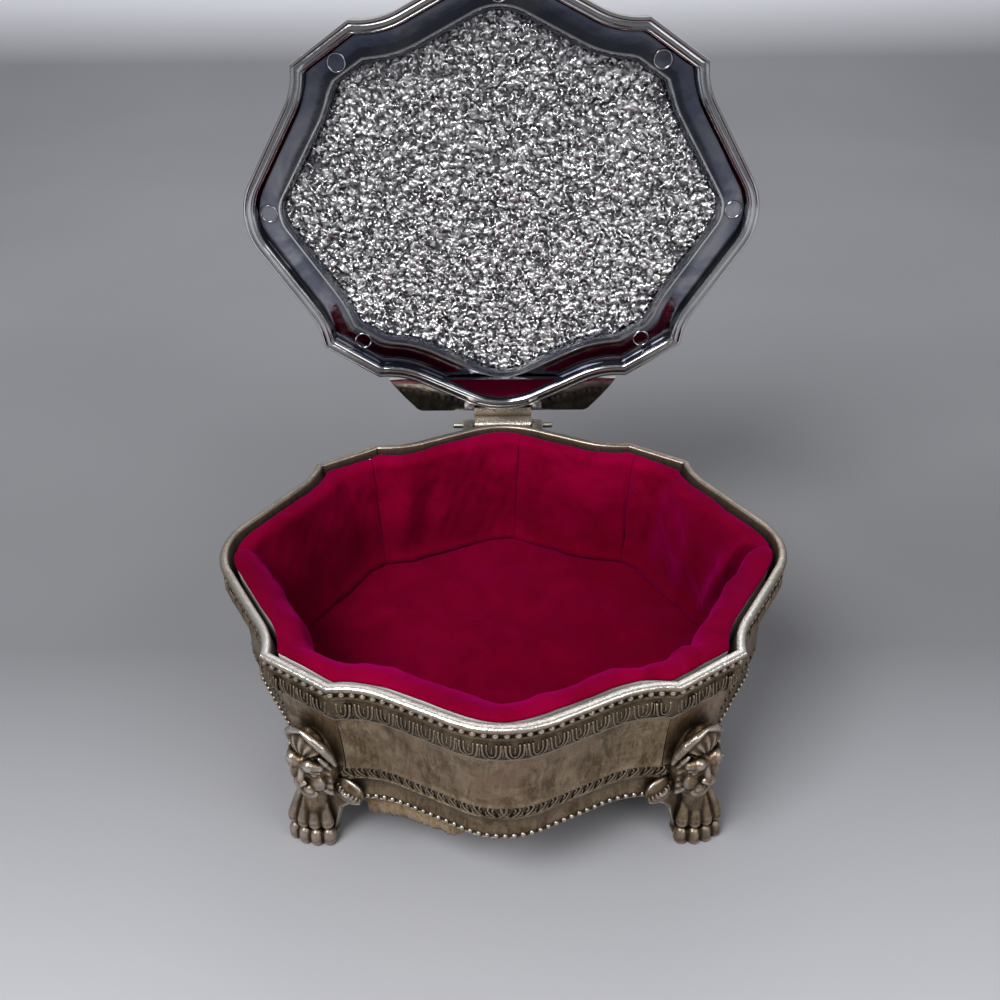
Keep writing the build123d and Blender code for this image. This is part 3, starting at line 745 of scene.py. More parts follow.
def glitter_silver():
    """The worm-cast panel: bright curls and bubbles over a darker bed."""
    m = Finish("panel_silver")
    bent = m.new("ShaderNodeVectorMath", operation="MULTIPLY_ADD")
    swirl = m.new("ShaderNodeTexNoise")
    swirl.inputs["Scale"].default_value = 330.0
    m.link(m.place, swirl.inputs["Vector"])
    m.link(swirl.outputs["Color"], bent.inputs[0])
    bent.inputs[1].default_value = (0.0022, 0.0022, 0.0022)
    m.link(m.place, bent.inputs[2])
    heights = []
    for scale in (470.0, 820.0):
        cells = m.new("ShaderNodeTexVoronoi", feature="SMOOTH_F1")
        cells.inputs["Scale"].default_value = scale
        cells.inputs["Smoothness"].default_value = 0.25
        m.link(bent.outputs[0], cells.inputs["Vector"])
        heights.append(m.ramp(cells.outputs["Distance"], 0.1, 0.75, 1.0, 0.0))
    boil = m.math("ADD", heights[0], m.math("MULTIPLY", heights[1], 0.55))
    fine = m.bump(m.noise(900, 4, 0.6), 0.4, 0.0005)
    grime = m.math("MULTIPLY", m.value("tarnish"), m.ramp(boil, 0.4, 0.85, 1.0, 0.0))
    grime = m.math("ADD", m.math("MULTIPLY", m.hollow(0.0009), 0.7), grime, clamp=True)
    colour = m.mix(grime, (1.0, 1.0, 1.0), (0.09, 0.093, 0.1))
    # painted reflection: the panel is greyed towards the top of the open lid, where it mirrors a darker room
    colour = m.mix(m.ramp(m.along("Z"), 0.09, 0.17, 0.0, 0.3), colour, (0.16, 0.163, 0.175))
    rough = m.math("ADD", m.math("MULTIPLY", m.value("tarnish"), 0.1), 0.22)
    return m.finish(colour, rough, m.bump(boil, 1.0, 0.0009, fine), Metallic=1.0)


def crimson_velvet():
    """Short crimson pile, paler where it turns away from the eye."""
    m = Finish("crimson_velvet")
    crush = m.noise(55, 5, 0.6, distortion=1.0)
    pile = m.noise(3800, 2, 0.5)
    dark = m.mix(m.ramp(crush, 0.4, 0.62), (0.12, 0.0, 0.009), (0.2, 0.0, 0.022))
    colour = m.mix(m.ramp(pile, 0.35, 0.65, 0.0, 0.5), dark, (0.25, 0.0, 0.028))
    # painted shade: darker low down and at the sides
    colour = m.mix(m.ramp(m.along("Z"), 0.028, 0.056, 0.55, 0.0), colour, (0.075, 0.0, 0.004))
    beside = m.ramp(m.math("ABSOLUTE", m.along("X")), 0.041, 0.056, 0.0, 0.42)
    colour = m.mix(beside, colour, (0.045, 0.0, 0.002))
    normal = m.bump(pile, 0.55, 0.0004)
    return m.finish(
        colour,
        0.95,
        normal,
        Sheen_Weight=0.34,
        Sheen_Roughness=0.4,
        Sheen_Tint=(0.8, 0.0, 0.33, 1.0),
        Specular_IOR_Level=0.02,
    )


def white_card():
    """White card with a faint fibre."""
    m = Finish("white_card")
    fibre = m.noise(900, 5, 0.7)
    colour = m.mix(fibre, (0.62, 0.6, 0.55), (0.86, 0.85, 0.81))
    return m.finish(colour, 0.85, m.bump(fibre, 0.3, 0.0003))


def pressed_board():
    """Brown pressed board of long fibres."""
    m = Finish("pressed_board")
    fibre = m.noise(500, 6, 0.7, (1, 0.25, 1))
    colour = m.mix(fibre, (0.2, 0.13, 0.07), (0.42, 0.31, 0.19))
    return m.finish(colour, 0.8, m.bump(fibre, 0.3, 0.0004))


def ochre_felt():
    """Worn ochre felt in clumps of long fibre."""
    m = Finish("ochre_felt")
    clump = m.noise(330, 6, 0.7, distortion=1.5)
    fibre = m.noise(2600, 4, 0.7, (1, 1, 0.4))
    colour = m.mix(m.ramp(clump, 0.38, 0.62), (0.05, 0.025, 0.005), (0.26, 0.145, 0.032))
    colour = m.mix(m.ramp(fibre, 0.42, 0.65, 0.0, 0.6), colour, (0.34, 0.21, 0.065))
    return m.finish(colour, 0.95, m.bump(fibre, 0.8, 0.0009), Sheen_Weight=0.25)


def drawn_wire():
    """Drawn wire with fine lines along it."""
    m = Finish("drawn_wire")
    lines = m.noise(900, 3, 0.6, (0.1, 1, 1))
    colour = m.mix(m.ramp(lines, 0.4, 0.65), (0.35, 0.31, 0.24), (0.6, 0.56, 0.47))
    return m.finish(colour, 0.32, m.bump(lines, 0.2, 0.0003), Metallic=1.0)


def material(name):
    """A finish by its name, made when it is first asked for."""
    makers = {
        "aged_silver": aged_silver,
        "lid_chrome": dark_chrome,
        "panel_silver": glitter_silver,
        "crimson_velvet": crimson_velvet,
        "white_card": white_card,
        "pressed_board": pressed_board,
        "ochre_felt": ochre_felt,
        "drawn_wire": drawn_wire,
    }
    return bpy.data.materials.get(name) or makers[name]()


# Lion mask and paw


class Carving:
    """A solid drawn as a distance field on a fine grid, in the frame of a corner: X along
    the canted wall towards the side, Y outward, Z up."""

    def __init__(self, low, high, step):
        self.low, self.step = np.array(low), step
        n = np.ceil((np.array(high) - self.low) / step).astype(int) + 1
        axes = [self.low[i] + step * np.arange(n[i]) for i in range(3)]
        self.x, self.y, self.z = np.meshgrid(*axes, indexing="ij", sparse=True)
        self.shape = tuple(n)
        self.field = np.full(self.shape, 9.0, np.float32)

    def ball(self, centre, radii, turn=0.0):
        """Distance to an ellipsoid, turned about Z."""
        c, s = math.cos(math.radians(turn)), math.sin(math.radians(turn))
        dx, dy, dz = self.x - centre[0], self.y - centre[1], self.z - centre[2]
        px, py = (dx * c + dy * s) / radii[0], (-dx * s + dy * c) / radii[1]
        pz = dz / radii[2]
        k0 = np.sqrt(px**2 + py**2 + pz**2)
        k1 = np.sqrt((px / radii[0]) ** 2 + (py / radii[1]) ** 2 + (pz / radii[2]) ** 2)
        return (k0 * (k0 - 1.0) / np.maximum(k1, 1e-6)).astype(np.float32)

    def rod(self, a, b, ra, rb):
        """Distance to a round rod whose radius changes along it."""
        a, b = np.array(a, float), np.array(b, float)
        d = b - a
        px, py, pz = self.x - a[0], self.y - a[1], self.z - a[2]
        t = np.clip((px * d[0] + py * d[1] + pz * d[2]) / (d @ d), 0, 1)
        gap = np.sqrt((px - t * d[0]) ** 2 + (py - t * d[1]) ** 2 + (pz - t * d[2]) ** 2)
        return (gap - (ra + (rb - ra) * t)).astype(np.float32)

    def chain(self, points, radii):
        """Distance to rods in a row."""
        out = None
        for (a, b), (ra, rb) in zip(zip(points, points[1:]), zip(radii, radii[1:])):
            r = self.rod(a, b, ra, rb)
            out = r if out is None else np.minimum(out, r)
        return out

    def join(self, other, blend):
        """Adds a form, with a fillet about as wide as the blend."""
        a, b = self.field, other
        h = np.clip(0.5 + 0.5 * (a - b) / blend, 0, 1)
        self.field = (a * (1 - h) + b * h - blend * h * (1 - h)).astype(np.float32)

    def cut(self, other, blend):
        """Takes a form away, with a rounded edge."""
        a, b = self.field, -other
        h = np.clip(0.5 - 0.5 * (a - b) / blend, 0, 1)
        self.field = (a * (1 - h) + b * h + blend * h * (1 - h)).astype(np.float32)

    def mesh(self):
        """Points, faces and how far each point stands out from what is round it."""
        vdb = openvdb.FloatGrid()
        vdb.background = 9.0
        vdb.copyFromArray(np.clip(self.field, -2, 2).astype(np.float32))
        points, quads = vdb.convertToQuads(isovalue=0.0)
        points = np.asarray(points, float)
        at = tuple(np.clip(np.round(points).astype(int), 0, np.array(self.shape) - 1).T)
        near = max(1, round(0.75 / self.step))
        raised = (blurred(np.clip(self.field, -2, 2), near) - self.field)[at]
        return points * self.step + self.low, np.asarray(quads), raised


def blurred(field, reach):
    """The mean of a field over a small cube round each place."""
    width = 2 * reach + 1
    for axis in range(3):
        margin = [(reach + 1, reach) if i == axis else (0, 0) for i in range(3)]
        total = np.cumsum(np.pad(field, margin, "edge"), axis)
        n = field.shape[axis]
        field = (np.take(total, range(width, width + n), axis) - np.take(total, range(n), axis)) / width
    return field


def fan(mirror, points):
    """The same points on the right, or on the left of the middle."""
    return [(mirror * x, y, z) for x, y, z in points]


def carve_leg(step):
    """Lion mask, jaw curls, leg and paw of one corner."""
    c = Carving((-12.2, -8.6, -0.6), (13.4, 4.4, 51.5), step)
    x, y, z = c.x, c.y, c.z
    c.field = c.ball((0, -3.8, 32.5), (6.0, 4.4, 10.8))
    c.join(c.ball((0, -3.9, 25.0), (4.8, 3.6, 4.8)), 1.2)
    for m in (-1, 1):
        # short locks beside the cheek
        for k in range(5):
            top = 35.6 - 2.4 * k
            lock = [(4.0, -0.9, top), (4.8, -1.6, top - 1.3), (5.2 - 0.12 * k, -2.3, top - 2.8)]
            c.join(c.chain(fan(m, lock), [0.85, 0.8, 0.5]), 0.4)
        # fluted curl at the end of the jaw, which runs on to the skirt
        c.join(c.ball((8.3 * m, -4.5, 24.9), (4.4, 1.4, 3.7)), 0.3)
        for k in range(4):
            r = 4.1 - 1.05 * k
            turn = [math.radians(v) for v in (150, 180, 215, 250, 285, 320, 350)]
            line = [(8.3 + r * math.cos(v), -3.7 + 0.25 * k, 25.2 + r * math.sin(v) * 0.9) for v in turn]
            c.join(c.chain(fan(m, line), [0.35, 0.58, 0.66, 0.68, 0.66, 0.58, 0.4]), 0.1)
    # crest combed back like a shell, with shallow flutes
    c.join(c.ball((0, -0.9, 40.6), (4.9, 2.7, 4.6)), 0.3)
    root, flutes, flute_depth = 36.6, 15, 0.2
    swing = np.arctan2(x, z - root)
    reach = np.sqrt(x**2 + (z - root) ** 2)
    comb = np.clip((reach - 1.6) * 1.2, 0, 1) * np.clip((y + 2.6) * 0.8, 0, 1)
    comb = comb * np.clip((z - 37.0) * 1.5, 0, 1)
    c.field = (c.field - flute_depth * np.sin(swing * flutes + 0.35 * reach) * comb).astype(np.float32)
    for m in (-1, 1):
        # broad smooth lock that frames the crest and sweeps down beside the brow
        sweep = [(0.2, 0.4, 45.3), (3.0, 0.3, 44.2), (5.2, -0.5, 41.8), (6.4, -1.5, 38.6), (6.9, -2.4, 35.2)]
        c.join(c.chain(fan(m, sweep), [0.5, 0.95, 1.15, 1.05, 0.5]), 0.15)
        lock = [(4.7, 0.3, 38.6), (5.5, -0.5, 36.8), (5.9, -1.7, 33.8)]
        c.join(c.chain(fan(m, lock), [0.5, 0.85, 0.4]), 0.15)
    # face: eye hollows, bridge and tip of the nose
    c.join(c.ball((0, -0.6, 32.2), (4.5, 2.9, 6.4)), 0.5)
    for m in (-1, 1):
        c.cut(c.ball((2.7 * m, 2.7, 33.0), (1.9, 1.0, 1.1)), 0.35)
    c.join(c.chain([(0, 1.4, 36.6), (0, 2.1, 34), (0, 2.9, 31)], [0.85, 0.75, 1.05]), 0.45)
    c.join(c.ball((0, 3.0, 30.5), (1.8, 1.0, 1.0)), 0.25)
    # brow, eye between its lids, cheek, muzzle and wing of the nose
    for m in (-1, 1):
        brow = [(0.8, 1.7, 35.9), (2.6, 1.9, 36.5), (4.5, 0.6, 35.8)]
        upper_lid = [(0.9, 1.9, 34.0), (2.7, 1.9, 34.2), (4.4, 0.8, 33.8)]
        lower_lid = [(1.2, 1.8, 32.3), (2.6, 1.6, 31.9), (4.1, 0.7, 32.4)]
        c.join(c.chain(fan(m, brow), [1.2, 1.65, 1.1]), 0.3)
        c.join(c.chain(fan(m, upper_lid), [0.3, 0.42, 0.3]), 0.12)
        c.join(c.ball((2.7 * m, 1.2, 33.1), (1.3, 0.8, 0.7)), 0.12)
        c.join(c.chain(fan(m, lower_lid), [0.25, 0.38, 0.25]), 0.15)
        c.join(c.ball((3.2 * m, 0.7, 29.8), (2.2, 1.7, 2.6)), 0.5)
        c.join(c.ball((1.5 * m, 2.1, 28.1), (1.75, 1.3, 1.5), 18 * m), 0.35)
        c.join(c.rod((0.7 * m, 3.8, 30.1), (1.6 * m, 3.0, 30.4), 0.36, 0.28), 0.15)
    # chin, and the cuts of the mouth
    c.join(c.ball((0, 1.0, 25.0), (2.8, 1.8, 1.9)), 0.4)
    for m in (-1, 1):
        c.cut(c.rod((3.2 * m, 2.3, 25.9), (0, 3.3, 26.6), 0.35, 0.4), 0.2)
    c.cut(c.rod((0, 3.9, 29.2), (0, 3.6, 27.2), 0.25, 0.25), 0.15)
    # leg
    c.join(c.chain([(1.4, -3.7, 23), (2.8, -4.0, 17.5), (4.6, -4.2, 11)], [3.1, 3.1, 3.4]), 1.0)
    # paw: a bell with four toes, each a long ridge over a round pad
    px, py = PAW_MIDDLE
    turn_cos, turn_sin = math.cos(math.radians(PAW_TURN)), math.sin(math.radians(PAW_TURN))

    def paw(a, b, h):
        return (px + a * turn_cos - b * turn_sin, py + a * turn_sin + b * turn_cos, h)

    c.join(c.ball(paw(0, -1.0, 5.5), (5.6, 3.8, 7.2), PAW_TURN), 0.8)
    c.join(c.ball(paw(-0.3, -1.2, 12.0), (4.3, 3.1, 5.8), PAW_TURN), 1.0)
    c.join(c.ball(paw(0, -0.4, 1.6), (6.3, 4.3, 2.6), PAW_TURN), 0.5)
    for k in range(4):
        a = k - 1.5
        back = -0.45 * a * a
        run = [paw(a * 1.7 - 2.3, 0.2 + back * 0.3, 21.8), paw(a * 1.95 - 0.9, 0.7 + back * 0.4, 17.2)]
        run += [paw(a * 2.5 - 0.2, 1.8 + back * 0.7, 12.4), paw(a * 2.95, 3.0 + back, 8.6)]
        run += [paw(a * 3.05, 3.2 + back, 7.4)]
        c.join(c.chain(run, [0.8, 1.1, 1.45, 1.78, 1.7]), 0.14)
        c.join(c.ball(paw(a * 3.1, 3.35 + back, 2.6), (1.85, 2.0, 2.75), PAW_TURN), 0.1)
        c.join(c.ball(paw(a * 3.1, 3.45 + back, 1.3), (1.8, 2.0, 1.9), PAW_TURN), 0.2)
    # plate behind the leg, hollowed on the front side
    left = np.interp(z.ravel(), [0, 13.7, 21.6], [0.95, -3.4, -10.1]).reshape(z.shape)
    plate = np.maximum(np.maximum(np.abs(y + 5.78) - 0.85, left - x), np.maximum(x - 9.9, z - 22.0))
    c.join((plate + 0 * x).astype(np.float32), 0.3)
    # flat sole, and nothing proud of the wall's inner face
    c.field = np.maximum(c.field, (0.02 - z) + 0 * c.field)
    inner = -(lean_in(np.maximum(z, SKIRT)) + WALL - 0.25)
    c.field = np.maximum(c.field, np.where(z > SKIRT - 0.2, inner - y, -9).astype(np.float32) + 0 * c.field)
    return c.mesh()


def corner_place(name):
    """Frame of a corner: middle of its canted wall, the way towards the side, and outward."""
    sx = 1 if "right" in name else -1
    sy = 1 if "rear" in name else -1
    cx, cy = CANTED_MIDDLE
    a = math.radians(CANTED_ANGLE)
    along = np.array([sx * math.cos(a), -sy * math.sin(a)])
    out = np.array([sx * math.sin(a), sy * math.cos(a)])
    return np.array([sx * cx, sy * cy]), along, out, sx * sy < 0


# Lid

LID_SHARES = ring_shares(110, 14)
# Rings of the lid from the middle of its crown down to the outside of its lip
LID_OUTER_RINGS = 26
# Section of the shut lid from its edge moulding down, under the lip and up to the margin:
# distance in, height, tarnish and wear
LID_EDGE = (
    (4.3, 70.9, 0.8, 0),
    (4.0, 70.6, 0.7, 0),
    (2.6, 70.8, 0.2, 0.4),
    (2.0, 70.7, 0.1, 0.6),
    (1.5, 70.3, 0.1, 0.7),
    (1.25, 69.6, 0.2, 0.5),
    (1.3, 68.4, 0.3, 0.2),
    (1.15, 66.6, 0.2, 0.3),
    (1.1, 65.4, 0.1, 0.6),
    (1.15, 64.9, 0, 0.9),
    (1.4, 64.65, 0, 1),
    (1.75, 64.6, 0, 1),
    (2.0, 64.78, 0.3, 0.4),
    (2.25, 64.8, 0.3, 0.4),
    (2.5, 64.64, 0.1, 0.7),
    (3.3, 64.6, 0, 0.8),
    (3.5, 64.74, 0.3, 0.4),
    (3.75, 64.74, 0.3, 0.4),
    (3.95, 64.64, 0.1, 0.8),
    (4.2, 64.75, 0, 0.9),
    (4.42, 65.1, 0.1, 0.3),
    (4.5, 66.0, 0.4, 0),
    (4.55, 68.0, 0.6, 0),
    (4.75, 68.8, 1.0, 0),
    (5.1, 69.0, 0.9, 0),
    (6.0, 69.05, 0.8, 0),
    (8.0, 69.05, 0.75, 0),
    (PANEL_STEP_IN - 0.5, 69.0, 0.8, 0),
    (PANEL_STEP_IN - 0.2, 68.85, 0, 0.9),
    (PANEL_STEP_IN + 0.1, 68.85, 0, 1),
    (PANEL_STEP_IN + 0.45, 69.3, 0.5, 0.2),
    (PANEL_STEP_IN + 0.7, 69.75, 0.8, 0),
    (PANEL_BED_IN - 0.3, 69.8, 0.6, 0),
)


def lid_rings(specs):
    """Rings of the lid from a list of (inset, height, share of full size, tarnish, wear)."""
    rows, tarnish, wear = [], [], []
    for inset, z, share, tar, wr in specs:
        xy = ring(LID_SHARES, inset)[:, :2] * share
        h = z(xy) if callable(z) else np.full(len(xy), float(z))
        rows.append(np.c_[xy, h])
        tarnish.append(np.full(len(xy), tar))
        wear.append(np.full(len(xy), wr))
    return np.concatenate(rows), np.concatenate(tarnish), np.concatenate(wear)


def crown_z(xy):
    """Height of the low crown of the shut lid."""
    return CROWN_TOP - (xy[:, 0] ** 2 + xy[:, 1] ** 2) / 780.0


def bed_z(xy):
    """Height of the inner face of the sheet."""
    return crown_z(xy) - SHEET


def lid_shell():
    """The cast lid drawn shut: crown, lip, polished margin and step, with the panel's bed."""
    specs = []
    for k in range(1, 15):
        specs.append((8.0, crown_z, k / 14, 0.1, 0.1))
    shoulder = ((7.0, 0.0, 0.1, 0.3), (6.0, 0.0, 0.1, 0.3), (5.2, 0.1, 0.2, 0.5), (4.6, 0.5, 0.3, 0.5))
    for inset, drop, tar, wr in shoulder:
        specs.append((inset, lambda xy, d=drop: crown_z(xy) - d, 1.0, tar, wr))
    specs += [(inset, z, 1, tar, wr) for inset, z, tar, wr in LID_EDGE]
    specs.append((PANEL_BED_IN, lambda xy: np.minimum(bed_z(xy), 70.2), 1, 0.8, 0))
    for k in range(14, 0, -1):
        specs.append((PANEL_BED_IN + 0.6, bed_z, k / 14, 0.6, 0))
    points, tarnish, wear = lid_rings(specs)
    n = len(LID_SHARES)
    end = len(points)
    faces = grid_faces(len(specs), n, wrap_columns=True) + fan_faces(end, 0, n)
    faces += fan_faces(end + 1, end - n, n, flip=True)
    points = np.vstack([points, [0, 0, CROWN_TOP], [0, 0, CROWN_TOP - SHEET]])
    points[:, 2] += ripple(points, 22.0, 71, 2) * 0.05
    shell = Shell()
    shell.add(points, faces, tarnish=np.append(tarnish, [0.1, 0.6]), wear=np.append(wear, [0.1, 0.0]))
    return shell


def bar(shell, section, low, high, bevel, tarnish, wear, upright=False):
    """A bar with bevelled ends, along X from a section of (y, z) points, or upright from a
    plan of (x, y) points."""
    full = np.array(section, float)
    middle = full.mean(0)
    way = full - middle
    small = middle + way * (1 - bevel / np.maximum(np.linalg.norm(way, axis=1, keepdims=True), 0.5))
    rows = []
    for at, edge in ((low, small), (low + bevel, full), (high - bevel, full), (high, small)):
        level = np.full(len(full), at)
        rows.append(np.c_[edge, level] if upright else np.c_[level, edge])
    shell.add(np.vstack(rows), tube_faces(4, len(full)), tarnish=tarnish, wear=wear)


# Curls of the panel: sweep in degrees, radius, and how many places along it
CURLS = ((190, 1.0, 6), (240, 0.8, 7), (150, 1.25, 6), (120, 0.8, 5), (110, 1.5, 6), (60, 0.35, 3))
CURL_HALF_WIDTH = 0.5
CURL_HEIGHT = 0.55


def curl_units():
    """Small half-sunk curls and drops for the panel, with their backs towards -Z."""
    rng = np.random.default_rng(5)
    units = []
    for i, (sweep, radius, count) in enumerate(CURLS):
        line = []
        for k in range(count):
            a = math.radians(sweep) * (k / (count - 1) - 0.5)
            r = radius * (1 + 0.25 * (k / (count - 1) - 0.5))
            line.append((r * math.cos(a), r * math.sin(a)))
        line = np.array(line) - np.mean(line, 0)
        way = np.gradient(line, axis=0)
        way /= np.linalg.norm(way, axis=1, keepdims=True)
        side = np.c_[-way[:, 1], way[:, 0]]
        rows = []
        for k in range(count):
            t = k / (count - 1)
            full = min(1.0, 0.55 + 2.2 * min(t, 1 - t)) * rng.uniform(0.92, 1.08)
            for off, up in ((-1, 0.4), (-0.5, -1), (0.5, -1), (1, 0.4)):
                x, y = line[k] + side[k] * off * CURL_HALF_WIDTH * full
                rows.append((x, y, up * CURL_HEIGHT * full))
        shell = Shell()
        p = np.array(rows)
        shell.add(p, tube_faces(count, 4), tarnish=np.clip(0.1 + p[:, 2] * 3, 0, 0.9))
        units.append(outward_faces(shell.object(f"curl_{i}", smooth_angle=180)))
    return units


def curl_tree():
    """Curls scattered on a bed, each turned and sized at random from a fixed seed."""
    tree, source, sink = shape_tree(
        "Scatter of curls", ("Gap",), Curls="Collection", Gap="Float", Smallest="Float", Largest="Float"
    )
    spread = node(tree, "GeometryNodeDistributePointsOnFaces", distribute_method="POISSON")
    spread.inputs["Density Max"].default_value = 900000.0
    info = node(tree, "GeometryNodeCollectionInfo")
    info.inputs["Separate Children"].default_value = True
    info.inputs["Reset Children"].default_value = True
    turn = node(tree, "FunctionNodeRandomValue", data_type="FLOAT", in_2=0.0, in_3=6.2832)
    lift = node(tree, "ShaderNodeCombineXYZ")
    size = node(tree, "FunctionNodeRandomValue", data_type="FLOAT")
    place = node(tree, "GeometryNodeInstanceOnPoints")
    place.inputs["Pick Instance"].default_value = True
    real = node(tree, "GeometryNodeRealizeInstances")
    paint = node(tree, "GeometryNodeSetMaterial")
    both = node(tree, "GeometryNodeJoinGeometry")
    link = tree.links.new
    link(source.outputs["Geometry"], spread.inputs["Mesh"])
    link(source.outputs["Gap"], spread.inputs["Distance Min"])
    link(source.outputs["Seed"], spread.inputs["Seed"])
    link(source.outputs["Curls"], info.inputs["Collection"])
    link(source.outputs["Smallest"], size.inputs[2])
    link(source.outputs["Largest"], size.inputs[3])
    link(turn.outputs[1], lift.inputs["Z"])
    link(spread.outputs["Points"], place.inputs["Points"])
    link(info.outputs[0], place.inputs["Instance"])
    link(lift.outputs[0], place.inputs["Rotation"])
    link(size.outputs[1], place.inputs["Scale"])
    link(place.outputs[0], real.inputs[0])
    link(source.outputs["Geometry"], both.inputs[0])
    link(real.outputs[0], both.inputs[0])
    link(both.outputs[0], paint.inputs["Geometry"])
    link(source.outputs["Material"], paint.inputs["Material"])
    link(paint.outputs[0], sink.inputs[0])
    return tree


# Velvet and felt

# Which places in plan each length of the lining covers
VELVET_LIMITS = {
    "velvet_front": lambda x, y: y < -0.02,
    "velvet_left": lambda x, y: (x < -39.02) & (y > 0.02),
    "velvet_right": lambda x, y: (x > 39.02) & (y > 0.02),
    "velvet_rear_left": lambda x, y: (x > -38.98) & (x < 4.98) & (y > 0),
    "velvet_rear_right": lambda x, y: (x > 5.02) & (x < 38.98) & (y > 0),
}
# Folds of each length: share along it, slant, height of the middle, half width as a share,
# and depth, which is negative where the fold is a dip
VELVET_FOLDS = {
    "velvet_front": [
        (0.26, -0.25, 50, 0.018, 2.6),
        (0.3, 0.3, 56, 0.012, -1.6),
        (0.56, 0.1, 55, 0.05, 1.4),
        (0.71, -0.2, 52, 0.04, 1.2),
        (0.9, 0.2, 48, 0.03, 1.2),
    ],
    "velvet_left": [(0.35, 0.1, 45, 0.1, 0.9), (0.75, -0.1, 50, 0.08, 0.8)],
    "velvet_right": [
        (0.77, 0.6, 50, 0.05, 3.4),
        (0.93, 0.5, 50, 0.07, -3.3),
        (0.5, 0.2, 50, 0.09, 1.4),
        (0.2, 0.1, 45, 0.08, 0.8),
    ],
    "velvet_rear_left": [(0.12, 0.25, 45, 0.05, 1.9), (0.24, 0.3, 42, 0.05, -1.8), (0.8, -0.2, 48, 0.1, 0.8)],
    "velvet_rear_right": [(0.25, 0.1, 50, 0.12, 0.9), (0.9, -0.4, 48, 0.07, 1.2)],
}


def band_places(name):
    """Wall shares of one length of lining, from its plan limits, in ring order."""
    shares = ring_shares(150, 36)
    xy = ring(shares, LINING_IN)
    keep = VELVET_LIMITS[name](xy[:, 0], xy[:, 1])
    start = int(np.argmax(keep & ~np.roll(keep, 1)))
    order = [(start + k) % len(shares) for k in range(len(shares))]
    kept = [shares[k] for k in order if keep[k]]

    def limit(wall, inside, outside):
        """Share of a wall at which the length ends, found by halving."""
        for _ in range(24):
            middle = (inside + outside) / 2
            at = ring([(wall, middle)], LINING_IN)
            if VELVET_LIMITS[name](at[:, 0], at[:, 1])[0]:
                inside = middle
            else:
                outside = middle
        return wall, inside

    before = shares[order[-1]]
    after = shares[order[len(kept)]]
    first = limit(before[0], kept[0][1] if before[0] == kept[0][0] else 1.0, before[1])
    last = limit(kept[-1][0], kept[-1][1], after[1] if after[0] == kept[-1][0] else 1.0)
    return [first] + kept + [last]


def velvet_band(name):
    """A length of padded velvet: crowned between its seams, pulled in at its ends, rolled
    over the card at the top and tucked under at the floor."""
    shares = band_places(name)
    n = len(shares)
    t = np.linspace(0, 1, n)
    length = n * 0.55
    ends = np.minimum(t, 1 - t) * length
    full = 0.62 + 0.38 * np.clip(ends / 4.0, 0, 1) ** 0.5
    front = name == "velvet_front"
    # section: distance from the card, height, and how freely a place moves
    loop = []
    for k in range(9):
        loop.append((0.0, VELVET_FOOT + 0.2 + (VELVET_TOP - 1.2 - VELVET_FOOT) * k / 8, 0))
    loop += [(-0.35, 62.45, 0), (-1.15, 62.75, 0), (-1.35, 63.2, 0), (-0.9, 63.65, 0), (0.1, 63.85, 0)]
    loop += [(1.2, 63.75, 0.3), (2.2, 63.3, 0.6), (2.9, 62.5, 0.85)]
    for k in range(34):
        z = 61.6 - (61.6 - VELVET_FOOT - 0.6) * k / 33
        loop.append((3.2, z, 1.0))
    loop += [(2.4, VELVET_FOOT + 0.1, 0.3), (1.2, VELVET_FOOT, 0)]
    rows, weight = [], []
    for e, z, inner in loop:
        if z > VELVET_TOP and not front:
            z = VELVET_TOP + (z - VELVET_TOP) * 0.5
        inset = VELVET_IN - LEAN * (z - SKIRT) + e
        high = (z - VELVET_FOOT) / (VELVET_TOP - VELVET_FOOT)
        crown = 1.3 * math.sin(math.pi * min(max(high, 0), 1)) ** 0.8
        if front:
            crown += 2.6 * math.exp(-(((high - 0.86) / 0.2) ** 2))
        depth = np.full(n, crown * inner)
        for at, slant, middle, wide, amount in VELVET_FOLDS[name]:
            centre = at + slant * (z - middle) / 100.0
            along = np.exp(-(((t - centre) / wide) ** 2))
            depth = depth + amount * inner * along * math.exp(-(((z - middle) / 14) ** 2))
        held = full + (1 - full) * min(max(1 - high / 0.45, 0), 1)
        depth = depth * held - (1 - held) * 0.9 * inner
        over = z - VELVET_FOOT - 4.5
        depth = depth + inner * 3.4 * math.exp(-over / 2.8 if over > 0 else over / 0.6)
        wrapped = e + np.where(e < 0, (1 - np.clip(ends / 1.5, 0, 1)) * -e * 0.3, 0.0)
        lower = (1 - full) * (0.6 if z > 62 else 0.0)
        pts = ring(shares, inset - e + wrapped + depth)
        rows.append(np.c_[pts[:, :2], np.full(n, z) - lower])
        weight.append(np.full(n, inner))
    m = len(loop)
    points = np.stack(rows, 1).reshape(-1, 3)
    w = np.stack(weight, 1).reshape(-1)
    outward = np.stack([ring(shares, LINING_IN)[:, 2:]] * m, 1).reshape(-1, 2)
    soft = ripple(points, 17.0, 300 + len(name) * 7, 3) * 0.45 + ripple(points, 5.0, 17, 2) * 0.1
    points[:, :2] -= outward * (soft * w)[:, None]
    points[:, 2] += ripple(points * (1, 1, 0), 14.0, 33, 2) * 0.35 * (points[:, 2] > 61)
    shell = Shell()
    shell.add(points, tube_faces(n, m))
    return shell


